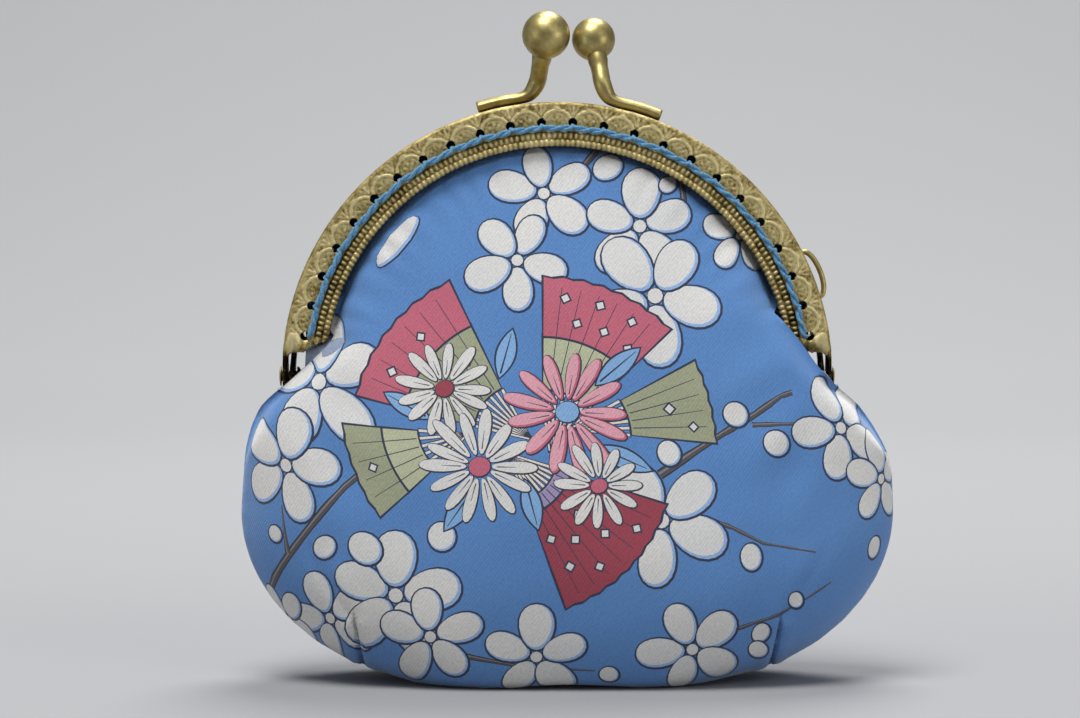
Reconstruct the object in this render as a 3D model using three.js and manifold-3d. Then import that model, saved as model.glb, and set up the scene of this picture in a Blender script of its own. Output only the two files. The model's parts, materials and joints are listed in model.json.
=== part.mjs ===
// Clasp coin purse: an arched sew-on frame with crossed ball arms, holding a lined pouch.
// Millimetres, +Z up. The front faces -Y and the pouch stands on its flat bottom at z = 0.
import * as THREE from "three";
import { mergeVertices } from "three/addons/utils/BufferGeometryUtils.js";
import Module from "manifold-3d";

const wasm = await Module();
wasm.setup();

// Clearance that touching pieces keep
const FIT_GAP = 0.3;

// Clasp frame: two stamped arches that meet at y = 0 and turn on rivets at the arch centre
const FRAME_RADIUS = 42.5;
const HINGE_HEIGHT = 47;
const FACE_WIDTH = 6.7;
const FLANGE_DEPTH = 5;
const SHEET = 0.8;
const CORNER_BEVEL = 0.5;
const RIM_WIDTH = 2.1;
const RIM_RISE = 0.5;
const RIM_CREST_INSET = 0.25;
const RIM_VALLEY_RISE = 0.15;
const ARCH_FACETS = 96;

// Stitch holes, spaced evenly over the arch
const HOLE_COUNT = 24;
const HOLE_PITCH_DEG = 7;
const HOLE_RADIUS = 0.65;
const HOLE_INSET = 3.1;
const THREAD_RADIUS = 0.35;

// Hinge lugs and rivets
const LUG_RADIUS = 2.4;
const LUG_NECK = 0.2;
const FLANGE_END = 4;
const FACE_BITE_RADIUS = 8;
const FACE_BITE_DROP = 2;
const RIVET_RADIUS = 0.8;
const RIVET_HEAD_RADIUS = 1.7;
const RIVET_HEAD_RISE = 0.7;
const RIVET_UPSET_RISE = 0.55;
const RIVET_UPSET_RADIUS = 1.5;

// Clasp arms and balls: each arm is pressed flat where it lies on the arch
const STEM_RADIUS = 1.35;
const FOOT_THICKNESS = 1.8;
const FOOT_SWEEP_DEG = 11;
const FRONT_ELBOW_DEG = 10.6;
const REAR_ELBOW_DEG = 5.6;
const ELBOW_RISE = 0.4;
const BEND_RISE = 1.75;
const BEND_SWEEP_DEG = 1.45;
const REAR_BALL_RADIUS = 3.7;
const FRONT_BALL_RADIUS = 3.35;
const REAR_BALL_RISE = 10.3;
const FRONT_BALL_RISE = 9.65;
const REAR_BALL_X = -1.7;
const BALL_LEAN = 1.2;

// Chain loop on the right side of the rear half
const LOOP_WIRE_RADIUS = 0.47;
const LOOP_SPAN_DEG = 10.5;
const LOOP_MIDDLE_DEG = 68;
const LOOP_REACH = 1.25;

// Pouch: two outer panels and two lining panels, each pair sewn round a U seam
const BELLY_HALF_WIDTH = 50.6;
const BELLY_HEIGHT = 26;
const BELLY_DEPTH = 18;
const BELLY_DEPTH_HEIGHT = 18;
const BASE_HALF_LENGTH = 22;
const BASE_HALF_DEPTH = 12.5;
const BELLY_FULLNESS = 0.56;
const SHOULDER_FULLNESS = 0.667;
const DEPTH_TAPER = 1.6;
const OUTER_CLOTH = 1;
const LINING_CLOTH = 0.5;
const SEAM_ROUNDING = 2.2;
const SEAM_SHARE = 0.985;
const TOP_SHARE = 0.55;
const LOWER_ROWS = 7;
const WINDOW_ROWS = 6;
const CROSS_COLUMNS = 12;

// Sizes that follow from the values above
const HALF_GAP = FIT_GAP / 2;
const FACE_FRONT = HALF_GAP + FLANGE_DEPTH;
const FACE_BACK = FACE_FRONT - SHEET;
const RIM_INNER = FRAME_RADIUS - FACE_WIDTH;
const RIM_OUTER = RIM_INNER + RIM_WIDTH;
const HOLE_CIRCLE = FRAME_RADIUS - HOLE_INSET;
const FLANGE_INNER = FRAME_RADIUS - SHEET;
const REAR_LUG_OUTER = FLANGE_INNER - FIT_GAP;
const REAR_LUG_INNER = REAR_LUG_OUTER - SHEET;
const CLOTH_FACE = FACE_BACK - FIT_GAP;
const CLOTH_ARCH = FLANGE_INNER - 3 * FIT_GAP;
const CLOTH_WINDOW = RIM_INNER - FIT_GAP;
const SWELL_TOP = CLOTH_WINDOW - 1;
const HINGE_HALF_WIDTH = REAR_LUG_INNER - 2 * FIT_GAP - RIVET_HEAD_RISE;
const SHOULDER_HEIGHT = HINGE_HEIGHT - LUG_RADIUS - 2 * FIT_GAP;

const brass = new THREE.MeshStandardMaterial({ color: 0x9a8450, roughness: 0.42, metalness: 0.9 });
const printedCloth = new THREE.MeshStandardMaterial({ color: 0x4b7dc8, roughness: 0.85, metalness: 0 });
const liningCloth = new THREE.MeshStandardMaterial({ color: 0x8fa3bd, roughness: 0.9, metalness: 0 });
const blueThread = new THREE.MeshStandardMaterial({ color: 0x4fa3cf, roughness: 0.7, metalness: 0 });

function signedVolume(geometry) {
  const place = geometry.getAttribute("position");
  const index = geometry.getIndex();
  const corners = [new THREE.Vector3(), new THREE.Vector3(), new THREE.Vector3()];
  let total = 0;
  for (let i = 0; i < index.count; i += 3) {
    corners.forEach((corner, k) => corner.fromBufferAttribute(place, index.getX(i + k)));
    total += corners[0].dot(corners[1].cross(corners[2]));
  }
  return total / 6;
}

// Turns a closed three.js geometry into a solid that can be joined and cut
function solid(source) {
  const bare = source.clone();
  bare.deleteAttribute("normal");
  bare.deleteAttribute("uv");
  const geometry = mergeVertices(bare, 1e-4);
  const turned = signedVolume(geometry) < 0;
  const index = geometry.getIndex();
  const triVerts = [];
  for (let i = 0; i < index.count; i += 3) {
    const triangle = [index.getX(i), index.getX(i + 1), index.getX(i + 2)];
    if (new Set(triangle).size < 3) continue;
    if (turned) triangle.reverse();
    triVerts.push(...triangle);
  }
  const mesh = new wasm.Mesh({
    numProp: 3,
    vertProperties: new Float32Array(geometry.getAttribute("position").array),
    triVerts: new Uint32Array(triVerts),
  });
  return new wasm.Manifold(mesh);
}

function toGeometry(body) {
  const mesh = body.getMesh();
  const geometry = new THREE.BufferGeometry();
  geometry.setAttribute("position", new THREE.BufferAttribute(new Float32Array(mesh.vertProperties), 3));
  geometry.setIndex(new THREE.BufferAttribute(new Uint32Array(mesh.triVerts), 1));
  geometry.computeVertexNormals();
  return geometry;
}

function named(name, geometry, material) {
  const mesh = new THREE.Mesh(geometry, material);
  mesh.name = name;
  return mesh;
}

// A box given by two opposite corners
function blockBetween(low, high) {
  const size = high.clone().sub(low);
  const block = new THREE.BoxGeometry(size.x, size.y, size.z);
  const middle = low.clone().add(high).multiplyScalar(0.5);
  return block.translate(middle.x, middle.y, middle.z);
}

function rodAlongX(radius, from, to, sides) {
  const rod = new THREE.CylinderGeometry(radius, radius, to - from, sides);
  return rod.rotateZ(Math.PI / 2).translate((from + to) / 2, 0, 0);
}

// A point on the arch: the angle runs from the top towards +X
function archPoint(radius, degrees, y) {
  const angle = THREE.MathUtils.degToRad(degrees);
  return new THREE.Vector3(radius * Math.sin(angle), y, radius * Math.cos(angle));
}

function roundWire(path, radius, steps, sides) {
  const section = new THREE.Shape();
  for (let k = 0; k < sides; k += 1) {
    const angle = (2 * Math.PI * k) / sides;
    const x = radius * Math.cos(angle);
    const y = radius * Math.sin(angle);
    if (k === 0) section.moveTo(x, y);
    else section.lineTo(x, y);
  }
  section.closePath();
  return new THREE.ExtrudeGeometry(section, { steps, bevelEnabled: false, extrudePath: path });
}

// Section of the front half, turned about the Y axis: flange, face plate and double-ridged rim
function archSection() {
  const ridge = RIM_WIDTH / 2;
  const crest = FACE_FRONT + RIM_RISE;
  const section = [
    [FRAME_RADIUS, -HALF_GAP],
    [FRAME_RADIUS, -FACE_FRONT + CORNER_BEVEL],
    [FRAME_RADIUS - CORNER_BEVEL, -FACE_FRONT],
    [RIM_OUTER, -FACE_FRONT],
    [RIM_OUTER - RIM_CREST_INSET, -crest],
    [RIM_OUTER - ridge + RIM_CREST_INSET, -crest],
    [RIM_OUTER - ridge, -FACE_FRONT - RIM_VALLEY_RISE],
    [RIM_INNER + ridge - RIM_CREST_INSET, -crest],
    [RIM_INNER + RIM_CREST_INSET, -crest],
    [RIM_INNER, -FACE_FRONT],
    [RIM_INNER, -FACE_BACK],
    [FLANGE_INNER, -FACE_BACK],
    [FLANGE_INNER, -HALF_GAP],
    [FRAME_RADIUS, -HALF_GAP],
  ];
  return section.map(([radius, y]) => new THREE.Vector2(radius, y));
}

// Outline of a hinge lug in the YZ plane: it leaves the flange and narrows to a round eye on the axis
function lugOutline(top) {
  const outline = new THREE.Shape();
  outline.moveTo(-HALF_GAP, top);
  outline.lineTo(-HALF_GAP, FLANGE_END);
  outline.quadraticCurveTo(-HALF_GAP, LUG_RADIUS, LUG_RADIUS * Math.SQRT1_2, LUG_RADIUS * Math.SQRT1_2);
  outline.absarc(0, 0, LUG_RADIUS, Math.PI / 4, -Math.PI, true);
  outline.quadraticCurveTo(-LUG_RADIUS - LUG_NECK, LUG_RADIUS, -FACE_FRONT + CORNER_BEVEL, FLANGE_END);
  outline.lineTo(-FACE_FRONT + CORNER_BEVEL, top);
  outline.closePath();
  return outline;
}

// A lug plate standing between two X values, with its outline in the YZ plane
function lugPlate(inner, outer, top) {
  const plate = new THREE.ExtrudeGeometry(lugOutline(top), {
    depth: outer - inner,
    bevelEnabled: false,
    curveSegments: 6,
  });
  plate.applyMatrix4(new THREE.Matrix4().set(0, 0, 1, inner, 1, 0, 0, 0, 0, 1, 0, 0, 0, 0, 0, 1));
  return solid(plate);
}

// One stamped half, modelled as the front one; the rear one is the same stamping turned round
function frameHalf(lugInner, lugOuter) {
  const reach = FRAME_RADIUS + 5;
  const full = solid(new THREE.LatheGeometry(archSection(), ARCH_FACETS));
  const below = solid(blockBetween(
    new THREE.Vector3(-reach, -reach, -reach),
    new THREE.Vector3(reach, reach, FLANGE_END),
  ));
  let half = full.subtract(below);
  for (const side of [-1, 1]) {
    const bite = new THREE.CylinderGeometry(FACE_BITE_RADIUS, FACE_BITE_RADIUS, SHEET + 2 * RIM_RISE + 1, 24);
    const centre = FLANGE_INNER - FACE_BITE_RADIUS;
    bite.translate(side * centre, -FACE_FRONT + SHEET / 2, -FACE_BITE_DROP);
    half = half.subtract(solid(bite));
  }
  const lugTop = Math.sqrt(FLANGE_INNER ** 2 - REAR_LUG_INNER ** 2);
  const hull = solid(new THREE.CylinderGeometry(FRAME_RADIUS, FRAME_RADIUS, 2 * reach, ARCH_FACETS));
  const lug = lugPlate(lugInner, lugOuter, lugTop).intersect(hull);
  const eye = solid(rodAlongX(RIVET_RADIUS + FIT_GAP, -reach, reach, 12));
  half = half.add(lug).add(lug.scale([-1, 1, 1])).subtract(eye);
  for (let k = 0; k < HOLE_COUNT; k += 1) {
    const degrees = HOLE_PITCH_DEG * (k - (HOLE_COUNT - 1) / 2);
    const place = archPoint(HOLE_CIRCLE, degrees, -FACE_FRONT);
    const punch = new THREE.CylinderGeometry(HOLE_RADIUS, HOLE_RADIUS, 3 * SHEET, 8);
    half = half.subtract(solid(punch.translate(place.x, place.y, place.z)));
  }
  return half;
}

// The sewing thread: one strand that lies on the face and dips into every hole
class StitchCurve extends THREE.Curve {
  getPoint(t, target = new THREE.Vector3()) {
    const span = (HOLE_COUNT - 1) * HOLE_PITCH_DEG;
    const degrees = span * (t - 0.5);
    const phase = t * (HOLE_COUNT - 1);
    const nearHole = Math.cos(Math.PI * phase) ** 2;
    const dip = nearHole ** 3;
    const proud = FACE_FRONT + FIT_GAP + THREAD_RADIUS;
    const lying = RIM_OUTER + FIT_GAP + THREAD_RADIUS;
    const radius = THREE.MathUtils.lerp(lying, HOLE_CIRCLE, nearHole);
    const y = -proud + dip * THREAD_RADIUS;
    return target.copy(archPoint(radius, degrees, y));
  }
}

function stitchThread() {
  return roundWire(new StitchCurve(), THREAD_RADIUS, 4 * (HOLE_COUNT - 1), 5);
}

// A bar of oval section along a path that bends about the Y axis: rise is its half thickness at a share
function ovalBar(path, rise, halfWidth, steps, sides) {
  const corners = [];
  for (let k = 0; k <= steps; k += 1) {
    const place = path.getPointAt(k / steps);
    const along = path.getTangentAt(k / steps);
    const up = new THREE.Vector3(0, 1, 0).cross(along).normalize();
    const across = along.clone().cross(up);
    for (let s = 0; s < sides; s += 1) {
      const angle = (2 * Math.PI * s) / sides;
      const corner = place.clone();
      corner.addScaledVector(up, rise(k / steps) * Math.cos(angle));
      corner.addScaledVector(across, halfWidth * Math.sin(angle));
      corners.push(corner.x, corner.y, corner.z);
    }
  }
  const faces = [];
  const corner = (k, s) => k * sides + (s % sides);
  for (let k = 0; k < steps; k += 1) {
    for (let s = 0; s < sides; s += 1) {
      faces.push(corner(k, s), corner(k, s + 1), corner(k + 1, s + 1));
      faces.push(corner(k, s), corner(k + 1, s + 1), corner(k + 1, s));
    }
  }
  for (let s = 1; s + 1 < sides; s += 1) {
    faces.push(corner(0, 0), corner(0, s + 1), corner(0, s));
    faces.push(corner(steps, 0), corner(steps, s), corner(steps, s + 1));
  }
  const geometry = new THREE.BufferGeometry();
  geometry.setAttribute("position", new THREE.BufferAttribute(new Float32Array(corners), 3));
  geometry.setIndex(faces);
  return toGeometry(solid(geometry));
}

// A clasp arm: a foot along the top of the arch, a bend, and a stem that leans across to its ball
function claspArm(elbowDegrees, ballCentre, ballRadius) {
  const seat = FRAME_RADIUS + FIT_GAP + FOOT_THICKNESS / 2;
  const footY = -(HALF_GAP + FLANGE_DEPTH / 2);
  const points = [];
  for (const share of [1, 0.75, 0.5, 0.25]) {
    points.push(archPoint(seat, elbowDegrees + FOOT_SWEEP_DEG * share, footY));
  }
  points.push(archPoint(seat + ELBOW_RISE, elbowDegrees, footY));
  const bendEnd = archPoint(seat + BEND_RISE, elbowDegrees - BEND_SWEEP_DEG, footY);
  const stem = ballCentre.clone().sub(bendEnd);
  const stemEnd = 1 - (ballRadius + FIT_GAP) / stem.length();
  for (const share of [0, 0.5, 1]) {
    points.push(bendEnd.clone().addScaledVector(stem, stemEnd * share));
  }
  const path = new THREE.CatmullRomCurve3(points, false, "centripetal");
  const rise = (share) => THREE.MathUtils.lerp(FOOT_THICKNESS / 2, STEM_RADIUS, ease(share, 0.4, 0.8));
  return ovalBar(path, rise, STEM_RADIUS, 20, 12);
}

function ball(radius) {
  return new THREE.SphereGeometry(radius, 18, 12);
}

// The chain loop: half a flattened ring of wire standing on the flange
function chainLoop() {
  const seat = FRAME_RADIUS + 1.4 * FIT_GAP;
  const y = -(HALF_GAP + FLANGE_DEPTH / 2);
  const points = [];
  for (let k = 0; k <= 8; k += 1) {
    const turn = (Math.PI * k) / 8;
    const degrees = -LOOP_MIDDLE_DEG - (LOOP_SPAN_DEG / 2) * Math.cos(turn);
    points.push(archPoint(seat + LOOP_REACH * Math.sin(turn), degrees, y));
  }
  return roundWire(new THREE.CatmullRomCurve3(points), LOOP_WIRE_RADIUS, 14, 8);
}

// A rivet through both lugs, with a domed head outside and an upset head inside
function hingeRivet() {
  const innerFace = REAR_LUG_INNER - FIT_GAP;
  const outerFace = FRAME_RADIUS + FIT_GAP;
  const profile = [
    [0, innerFace - RIVET_UPSET_RISE],
    [RIVET_UPSET_RADIUS - CORNER_BEVEL / 2, innerFace - RIVET_UPSET_RISE],
    [RIVET_UPSET_RADIUS, innerFace],
    [RIVET_RADIUS, innerFace],
    [RIVET_RADIUS, outerFace],
    [RIVET_HEAD_RADIUS, outerFace],
    [RIVET_HEAD_RADIUS - CORNER_BEVEL / 2, outerFace + RIVET_HEAD_RISE / 2],
    [RIVET_HEAD_RADIUS / 2, outerFace + RIVET_HEAD_RISE - CORNER_BEVEL / 8],
    [0, outerFace + RIVET_HEAD_RISE],
  ];
  const points = profile.map(([radius, along]) => new THREE.Vector2(radius, along));
  return new THREE.LatheGeometry(points, 12).rotateZ(-Math.PI / 2);
}

// Rises from 0 to 1 as a value goes from one end of a span to the other
function ease(value, start, end) {
  return THREE.MathUtils.smoothstep(value, start, end);
}

// Half width of the pouch at a height, for cloth that lies an inset inside the outer face
function halfWidth(z, inset) {
  const low = inset;
  const rise = z - HINGE_HEIGHT;
  if (z < BELLY_HEIGHT) {
    const drop = Math.min(1, (BELLY_HEIGHT - z) / (BELLY_HEIGHT - low));
    const swell = Math.max(0, 1 - drop ** 2) ** BELLY_FULLNESS;
    return BASE_HALF_LENGTH + (BELLY_HALF_WIDTH - BASE_HALF_LENGTH) * swell - inset;
  }
  if (z < SHOULDER_HEIGHT) {
    const climb = (z - BELLY_HEIGHT) / (SHOULDER_HEIGHT - BELLY_HEIGHT);
    const swell = (1 - climb ** 3) ** SHOULDER_FULLNESS;
    return HINGE_HALF_WIDTH + (BELLY_HALF_WIDTH - HINGE_HALF_WIDTH) * swell - inset;
  }
  const arch = Math.sqrt(Math.max(0, CLOTH_ARCH ** 2 - rise ** 2));
  return Math.min(HINGE_HALF_WIDTH, arch) - inset * (1 - ease(z, SHOULDER_HEIGHT, HINGE_HEIGHT));
}

// Half depth of the pouch on its middle line
function middleDepth(z, inset) {
  const top = HINGE_HEIGHT + SWELL_TOP;
  if (z < BELLY_DEPTH_HEIGHT) {
    const drop = Math.min(1, (BELLY_DEPTH_HEIGHT - z) / (BELLY_DEPTH_HEIGHT - inset));
    return BASE_HALF_DEPTH + (BELLY_DEPTH - BASE_HALF_DEPTH) * Math.sqrt(1 - drop ** 2) - inset;
  }
  const climb = Math.min(1, (z - BELLY_DEPTH_HEIGHT) / (top - BELLY_DEPTH_HEIGHT));
  return CLOTH_FACE + (BELLY_DEPTH - CLOTH_FACE) * (1 - climb ** DEPTH_TAPER) - inset;
}

// Depth of the cloth along its edge: flat behind the face plate, drawn together below the hinge
function edgeDepth(z, inset) {
  const held = ease(z, SHOULDER_HEIGHT, HINGE_HEIGHT + FLANGE_END);
  return THREE.MathUtils.lerp(HALF_GAP + SEAM_ROUNDING, CLOTH_FACE, held) - inset;
}

// One row of the cloth surface: its columns run from edge to edge with one on each side of the window
function clothRow(z, inset, widen) {
  const rise = z - HINGE_HEIGHT;
  const width = halfWidth(z, inset) + widen;
  const window = Math.sqrt(Math.max(0, (CLOTH_WINDOW - inset) ** 2 - rise ** 2));
  const upper = ease(z, SHOULDER_HEIGHT, HINGE_HEIGHT + FLANGE_END);
  const swellWidth = THREE.MathUtils.lerp(width * SEAM_SHARE, Math.max(window, width * TOP_SHARE), upper);
  const edge = edgeDepth(z, inset);
  const middle = Math.max(edge, middleDepth(z, inset));
  const flatness = THREE.MathUtils.lerp(2.4, 2, upper);
  const roundness = THREE.MathUtils.lerp(0.55, 0.85, upper);
  const row = [new THREE.Vector3(-width, -edge, z)];
  for (let k = 0; k <= CROSS_COLUMNS; k += 1) {
    const across = Math.sin((Math.PI / 2) * ((2 * k) / CROSS_COLUMNS - 1));
    const swell = Math.max(0, 1 - Math.abs(across) ** flatness) ** roundness;
    row.push(new THREE.Vector3(across * swellWidth, -(edge + (middle - edge) * swell), z));
  }
  row.push(new THREE.Vector3(width, -edge, z));
  return row;
}

// A solid between the swelling cloth face and a flat back plane
function clothBody(inset, widen, back) {
  const heights = [];
  for (let k = 0; k < LOWER_ROWS; k += 1) {
    const share = (1 - Math.cos((Math.PI * k) / LOWER_ROWS)) / 2;
    heights.push(THREE.MathUtils.lerp(inset, SHOULDER_HEIGHT, share));
  }
  heights.push(SHOULDER_HEIGHT, HINGE_HEIGHT - 1, HINGE_HEIGHT + FLANGE_END / 2);
  const first = Math.asin(FLANGE_END / SWELL_TOP);
  for (let k = 0; k <= WINDOW_ROWS; k += 1) {
    const angle = THREE.MathUtils.lerp(first, Math.PI / 2, k / WINDOW_ROWS);
    heights.push(HINGE_HEIGHT + SWELL_TOP * Math.sin(angle));
  }
  for (const share of [0.5, 0.8, 0.995]) {
    heights.push(HINGE_HEIGHT + THREE.MathUtils.lerp(SWELL_TOP, CLOTH_ARCH, share));
  }
  if (widen > 0) heights.push(HINGE_HEIGHT + CLOTH_ARCH + 1);
  const rows = heights.map((z) => clothRow(z, inset, widen > 0 ? widen * ease(z, SHOULDER_HEIGHT, HINGE_HEIGHT) : 0));
  const columns = rows[0].length;
  const corners = [];
  for (const row of rows) row.forEach((point) => corners.push(point.x, point.y, point.z));
  const backStart = corners.length / 3;
  for (const row of rows) row.forEach((point) => corners.push(point.x, back, point.z));
  const faces = [];
  const front = (r, c) => r * columns + c;
  const behind = (r, c) => backStart + r * columns + c;
  for (let r = 0; r + 1 < rows.length; r += 1) {
    for (let c = 0; c + 1 < columns; c += 1) {
      faces.push(front(r, c), front(r, c + 1), front(r + 1, c + 1));
      faces.push(front(r, c), front(r + 1, c + 1), front(r + 1, c));
      faces.push(behind(r, c), behind(r + 1, c + 1), behind(r, c + 1));
      faces.push(behind(r, c), behind(r + 1, c), behind(r + 1, c + 1));
    }
    for (const c of [0, columns - 1]) {
      const quad = [front(r, c), front(r + 1, c), behind(r + 1, c), behind(r, c)];
      if (c > 0) quad.reverse();
      faces.push(quad[0], quad[1], quad[2], quad[0], quad[2], quad[3]);
    }
  }
  for (const r of [0, rows.length - 1]) {
    for (let c = 0; c + 1 < columns; c += 1) {
      const quad = [front(r, c), behind(r, c), behind(r, c + 1), front(r, c + 1)];
      if (r > 0) quad.reverse();
      faces.push(quad[0], quad[1], quad[2], quad[0], quad[2], quad[3]);
    }
  }
  const geometry = new THREE.BufferGeometry();
  geometry.setAttribute("position", new THREE.BufferAttribute(new Float32Array(corners), 3));
  geometry.setIndex(faces);
  return solid(geometry);
}

// A cloth panel: the body of its outer face less the body of its inner face, open along the arch
function clothPanel(inset, thickness) {
  const whole = clothBody(inset, 0, -HALF_GAP);
  const hollow = clothBody(inset + thickness, 2, HALF_GAP + 1);
  return whole.subtract(hollow);
}

const purse = new THREE.Group();
const rearHalf = new THREE.Group();
const frontHalf = new THREE.Group();
const pouch = new THREE.Group();
purse.add(rearHalf, frontHalf, pouch);
rearHalf.position.z = HINGE_HEIGHT;
frontHalf.position.z = HINGE_HEIGHT;

// Turning a piece half round the Z axis takes it from the front half to the rear half
const rearPieces = new THREE.Group();
rearPieces.rotation.z = Math.PI;
rearHalf.add(rearPieces);

const frontBallX = REAR_BALL_X + REAR_BALL_RADIUS + FIT_GAP + FRONT_BALL_RADIUS;
const frontBallPlace = new THREE.Vector3(frontBallX, BALL_LEAN, FRAME_RADIUS + FRONT_BALL_RISE);
const frontBall = named("front_clasp_ball", ball(FRONT_BALL_RADIUS), brass);
frontBall.position.copy(frontBallPlace);
const frontArm = claspArm(FRONT_ELBOW_DEG, frontBallPlace, FRONT_BALL_RADIUS);
frontHalf.add(
  named("front_frame", toGeometry(frameHalf(FLANGE_INNER, FRAME_RADIUS)), brass),
  named("front_clasp_arm", frontArm, brass),
  named("front_stitch_thread", stitchThread(), blueThread),
  frontBall,
);

const rearBallPlace = new THREE.Vector3(-REAR_BALL_X, BALL_LEAN, FRAME_RADIUS + REAR_BALL_RISE);
const rearBall = named("rear_clasp_ball", ball(REAR_BALL_RADIUS), brass);
rearBall.position.copy(rearBallPlace);
const rearArm = claspArm(REAR_ELBOW_DEG, rearBallPlace, REAR_BALL_RADIUS);
rearPieces.add(
  named("rear_frame", toGeometry(frameHalf(REAR_LUG_INNER, REAR_LUG_OUTER)), brass),
  named("rear_clasp_arm", rearArm, brass),
  named("rear_stitch_thread", stitchThread(), blueThread),
  named("chain_loop", chainLoop(), brass),
  rearBall,
);

for (const [side, turn] of [["right", 0], ["left", Math.PI]]) {
  const rivet = named(`hinge_rivet_${side}`, hingeRivet(), brass);
  rivet.rotation.z = turn;
  rearHalf.add(rivet);
}

const outerPanel = toGeometry(clothPanel(0, OUTER_CLOTH));
const liningPanel = toGeometry(clothPanel(OUTER_CLOTH + FIT_GAP, LINING_CLOTH));
const cloths = [["outer", outerPanel, printedCloth], ["lining", liningPanel, liningCloth]];
for (const [layer, geometry, material] of cloths) {
  const frontPanel = named(`${layer}_front_panel`, geometry, material);
  const rearPanel = named(`${layer}_rear_panel`, geometry.clone(), material);
  rearPanel.rotation.z = Math.PI;
  pouch.add(frontPanel, rearPanel);
}

export default purse;
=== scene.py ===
"""Looks of the clasp coin purse: printed cloth, lining, stamped antique brass and stitching."""

import json
import math
import random

import bpy
import numpy as np
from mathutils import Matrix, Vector
from mathutils.geometry import delaunay_2d_cdt


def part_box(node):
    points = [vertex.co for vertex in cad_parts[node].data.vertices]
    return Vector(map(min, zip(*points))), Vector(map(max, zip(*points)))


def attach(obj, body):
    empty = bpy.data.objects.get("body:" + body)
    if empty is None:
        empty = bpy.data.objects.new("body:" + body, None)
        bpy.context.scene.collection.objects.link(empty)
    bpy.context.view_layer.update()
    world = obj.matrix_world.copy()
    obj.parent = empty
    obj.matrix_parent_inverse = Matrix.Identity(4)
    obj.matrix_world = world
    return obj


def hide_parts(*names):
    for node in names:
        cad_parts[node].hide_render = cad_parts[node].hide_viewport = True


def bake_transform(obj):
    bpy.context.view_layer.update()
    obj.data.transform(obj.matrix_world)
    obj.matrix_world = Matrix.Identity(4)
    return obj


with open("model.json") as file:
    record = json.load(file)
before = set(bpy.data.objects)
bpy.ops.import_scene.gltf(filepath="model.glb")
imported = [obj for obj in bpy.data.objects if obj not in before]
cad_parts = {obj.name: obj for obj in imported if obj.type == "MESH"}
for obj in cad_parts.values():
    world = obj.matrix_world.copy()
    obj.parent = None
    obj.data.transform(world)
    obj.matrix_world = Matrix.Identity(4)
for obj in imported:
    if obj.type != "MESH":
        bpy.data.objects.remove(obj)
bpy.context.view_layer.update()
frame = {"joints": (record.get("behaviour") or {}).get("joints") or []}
MM = 0.001
ROOT = "rear_half_and_pouch"
FRONT = "front_half"
HINGE = frame["joints"][0]["pos_m"][2] / MM

# Clasp frame, in millimetres from the hinge axis
ARCH_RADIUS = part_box("front_frame")[1][0] / MM
SHEET = 0.8
FLANGE_START = 0.15
FLANGE_FRONT = 5.15
FLANGE_MIDDLE = (FLANGE_START + FLANGE_FRONT) / 2
CORNER = 0.6
RIM_OUTER = ARCH_RADIUS - 4.6
RIM_INNER = ARCH_RADIUS - 6.7
HOLE_CIRCLE = ARCH_RADIUS - 3.1
HOLE_RADIUS = 0.72
HOLE_COUNT = 24
HOLE_PITCH = math.radians(7)
RAY_END = ARCH_RADIUS - 0.8
BUD_CIRCLE = ARCH_RADIUS - 0.95
BEAD_CIRCLE = ARCH_RADIUS - 5.5
BEAD_PITCH = 0.82
LUG_RADIUS = 2.4
FACE_END = 4.0
EYE_RADIUS = 1.0
REAR_LUG_INSET = 1.1
LOOP_WIRE = 0.42
RIVET_SHAFT = 0.8
RIVET_HEAD = 1.5
THREAD_RADIUS = 0.28
THREAD_APART = 0.26

# Camera, in millimetres: it looks at a point near the arch's centre
CAMERA_DISTANCE = 640.0
CAMERA_ELEVATION = math.radians(3.5)
AIM_X = -2.64
AIM_RISE = 2.64
PICTURE_WIDTH = 167.7

# Pouch, in millimetres
BELLY_HEIGHT = 26.0
BELLY_DEPTH = 18.0
BELLY_DEPTH_HEIGHT = 18.0
BASE_HALF_LENGTH = 22.0
BASE_SEAM_HALF = 15.0
BASE_HALF_DEPTH = 12.5
BELLY_FULLNESS = 0.56
BELLY_SHIFT = 1.5
CLOTH_FACE = 4.05
CLOTH_WINDOW = RIM_INNER - 0.25
CLOTH_ARCH = ARCH_RADIUS - 1.7
SEAM_TOP = -7.5
SHOULDER_TOP = -1.2
LAP_TOP = 10.6
LAP_FACE = 6.95
PROUD_EDGE = 1.3
SHOULDER_REACH = 13.0
LINING_INSET = 1.35
OUTER_THICKNESS = 0.95
LINING_THICKNESS = 0.4
PUCKER_PITCH = 3.3
# Half width and height above the hinge of a base dart, at the seam and at its point
DART_FOOT = (31.4, 0.6 - HINGE)
DART_TIP = (32.6, 11.5 - HINGE)
# Height above the hinge and half width of the pouch, from the belly to where the frame takes the cloth
LEFT_SHOULDER = (
    (-30.0, 51.0), (-21.0, 50.6), (-13.0, 49.9), (-8.0, 48.2), (-5.0, 46.3), (-3.0, 44.2),
    (-1.1, 42.0), (2.2, 38.3), (5.6, 34.9), (7.2, 34.7), (8.8, 37.6), (10.5, 39.2), (14.0, 39.6),
)
RIGHT_SHOULDER = (
    (-30.0, 51.0), (-21.0, 50.8), (-13.0, 50.3), (-8.0, 48.6), (-5.0, 46.9), (-3.2, 45.2),
    (-1.8, 43.7), (1.8, 40.2), (5.4, 37.6), (8.6, 35.0), (10.3, 33.3), (11.2, 34.2), (12.6, 37.6),
    (14.0, 39.6),
)
LINING_SHOULDER = (
    (-30.0, 49.6), (-21.0, 49.3), (-13.0, 48.5), (-8.0, 46.8), (-5.0, 44.4), (-3.0, 41.8),
    (-1.6, 39.6), (0.0, 39.1), (4.0, 38.8), (8.0, 38.9), (14.0, 39.0),
)


# Small maths on numpy arrays


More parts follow.
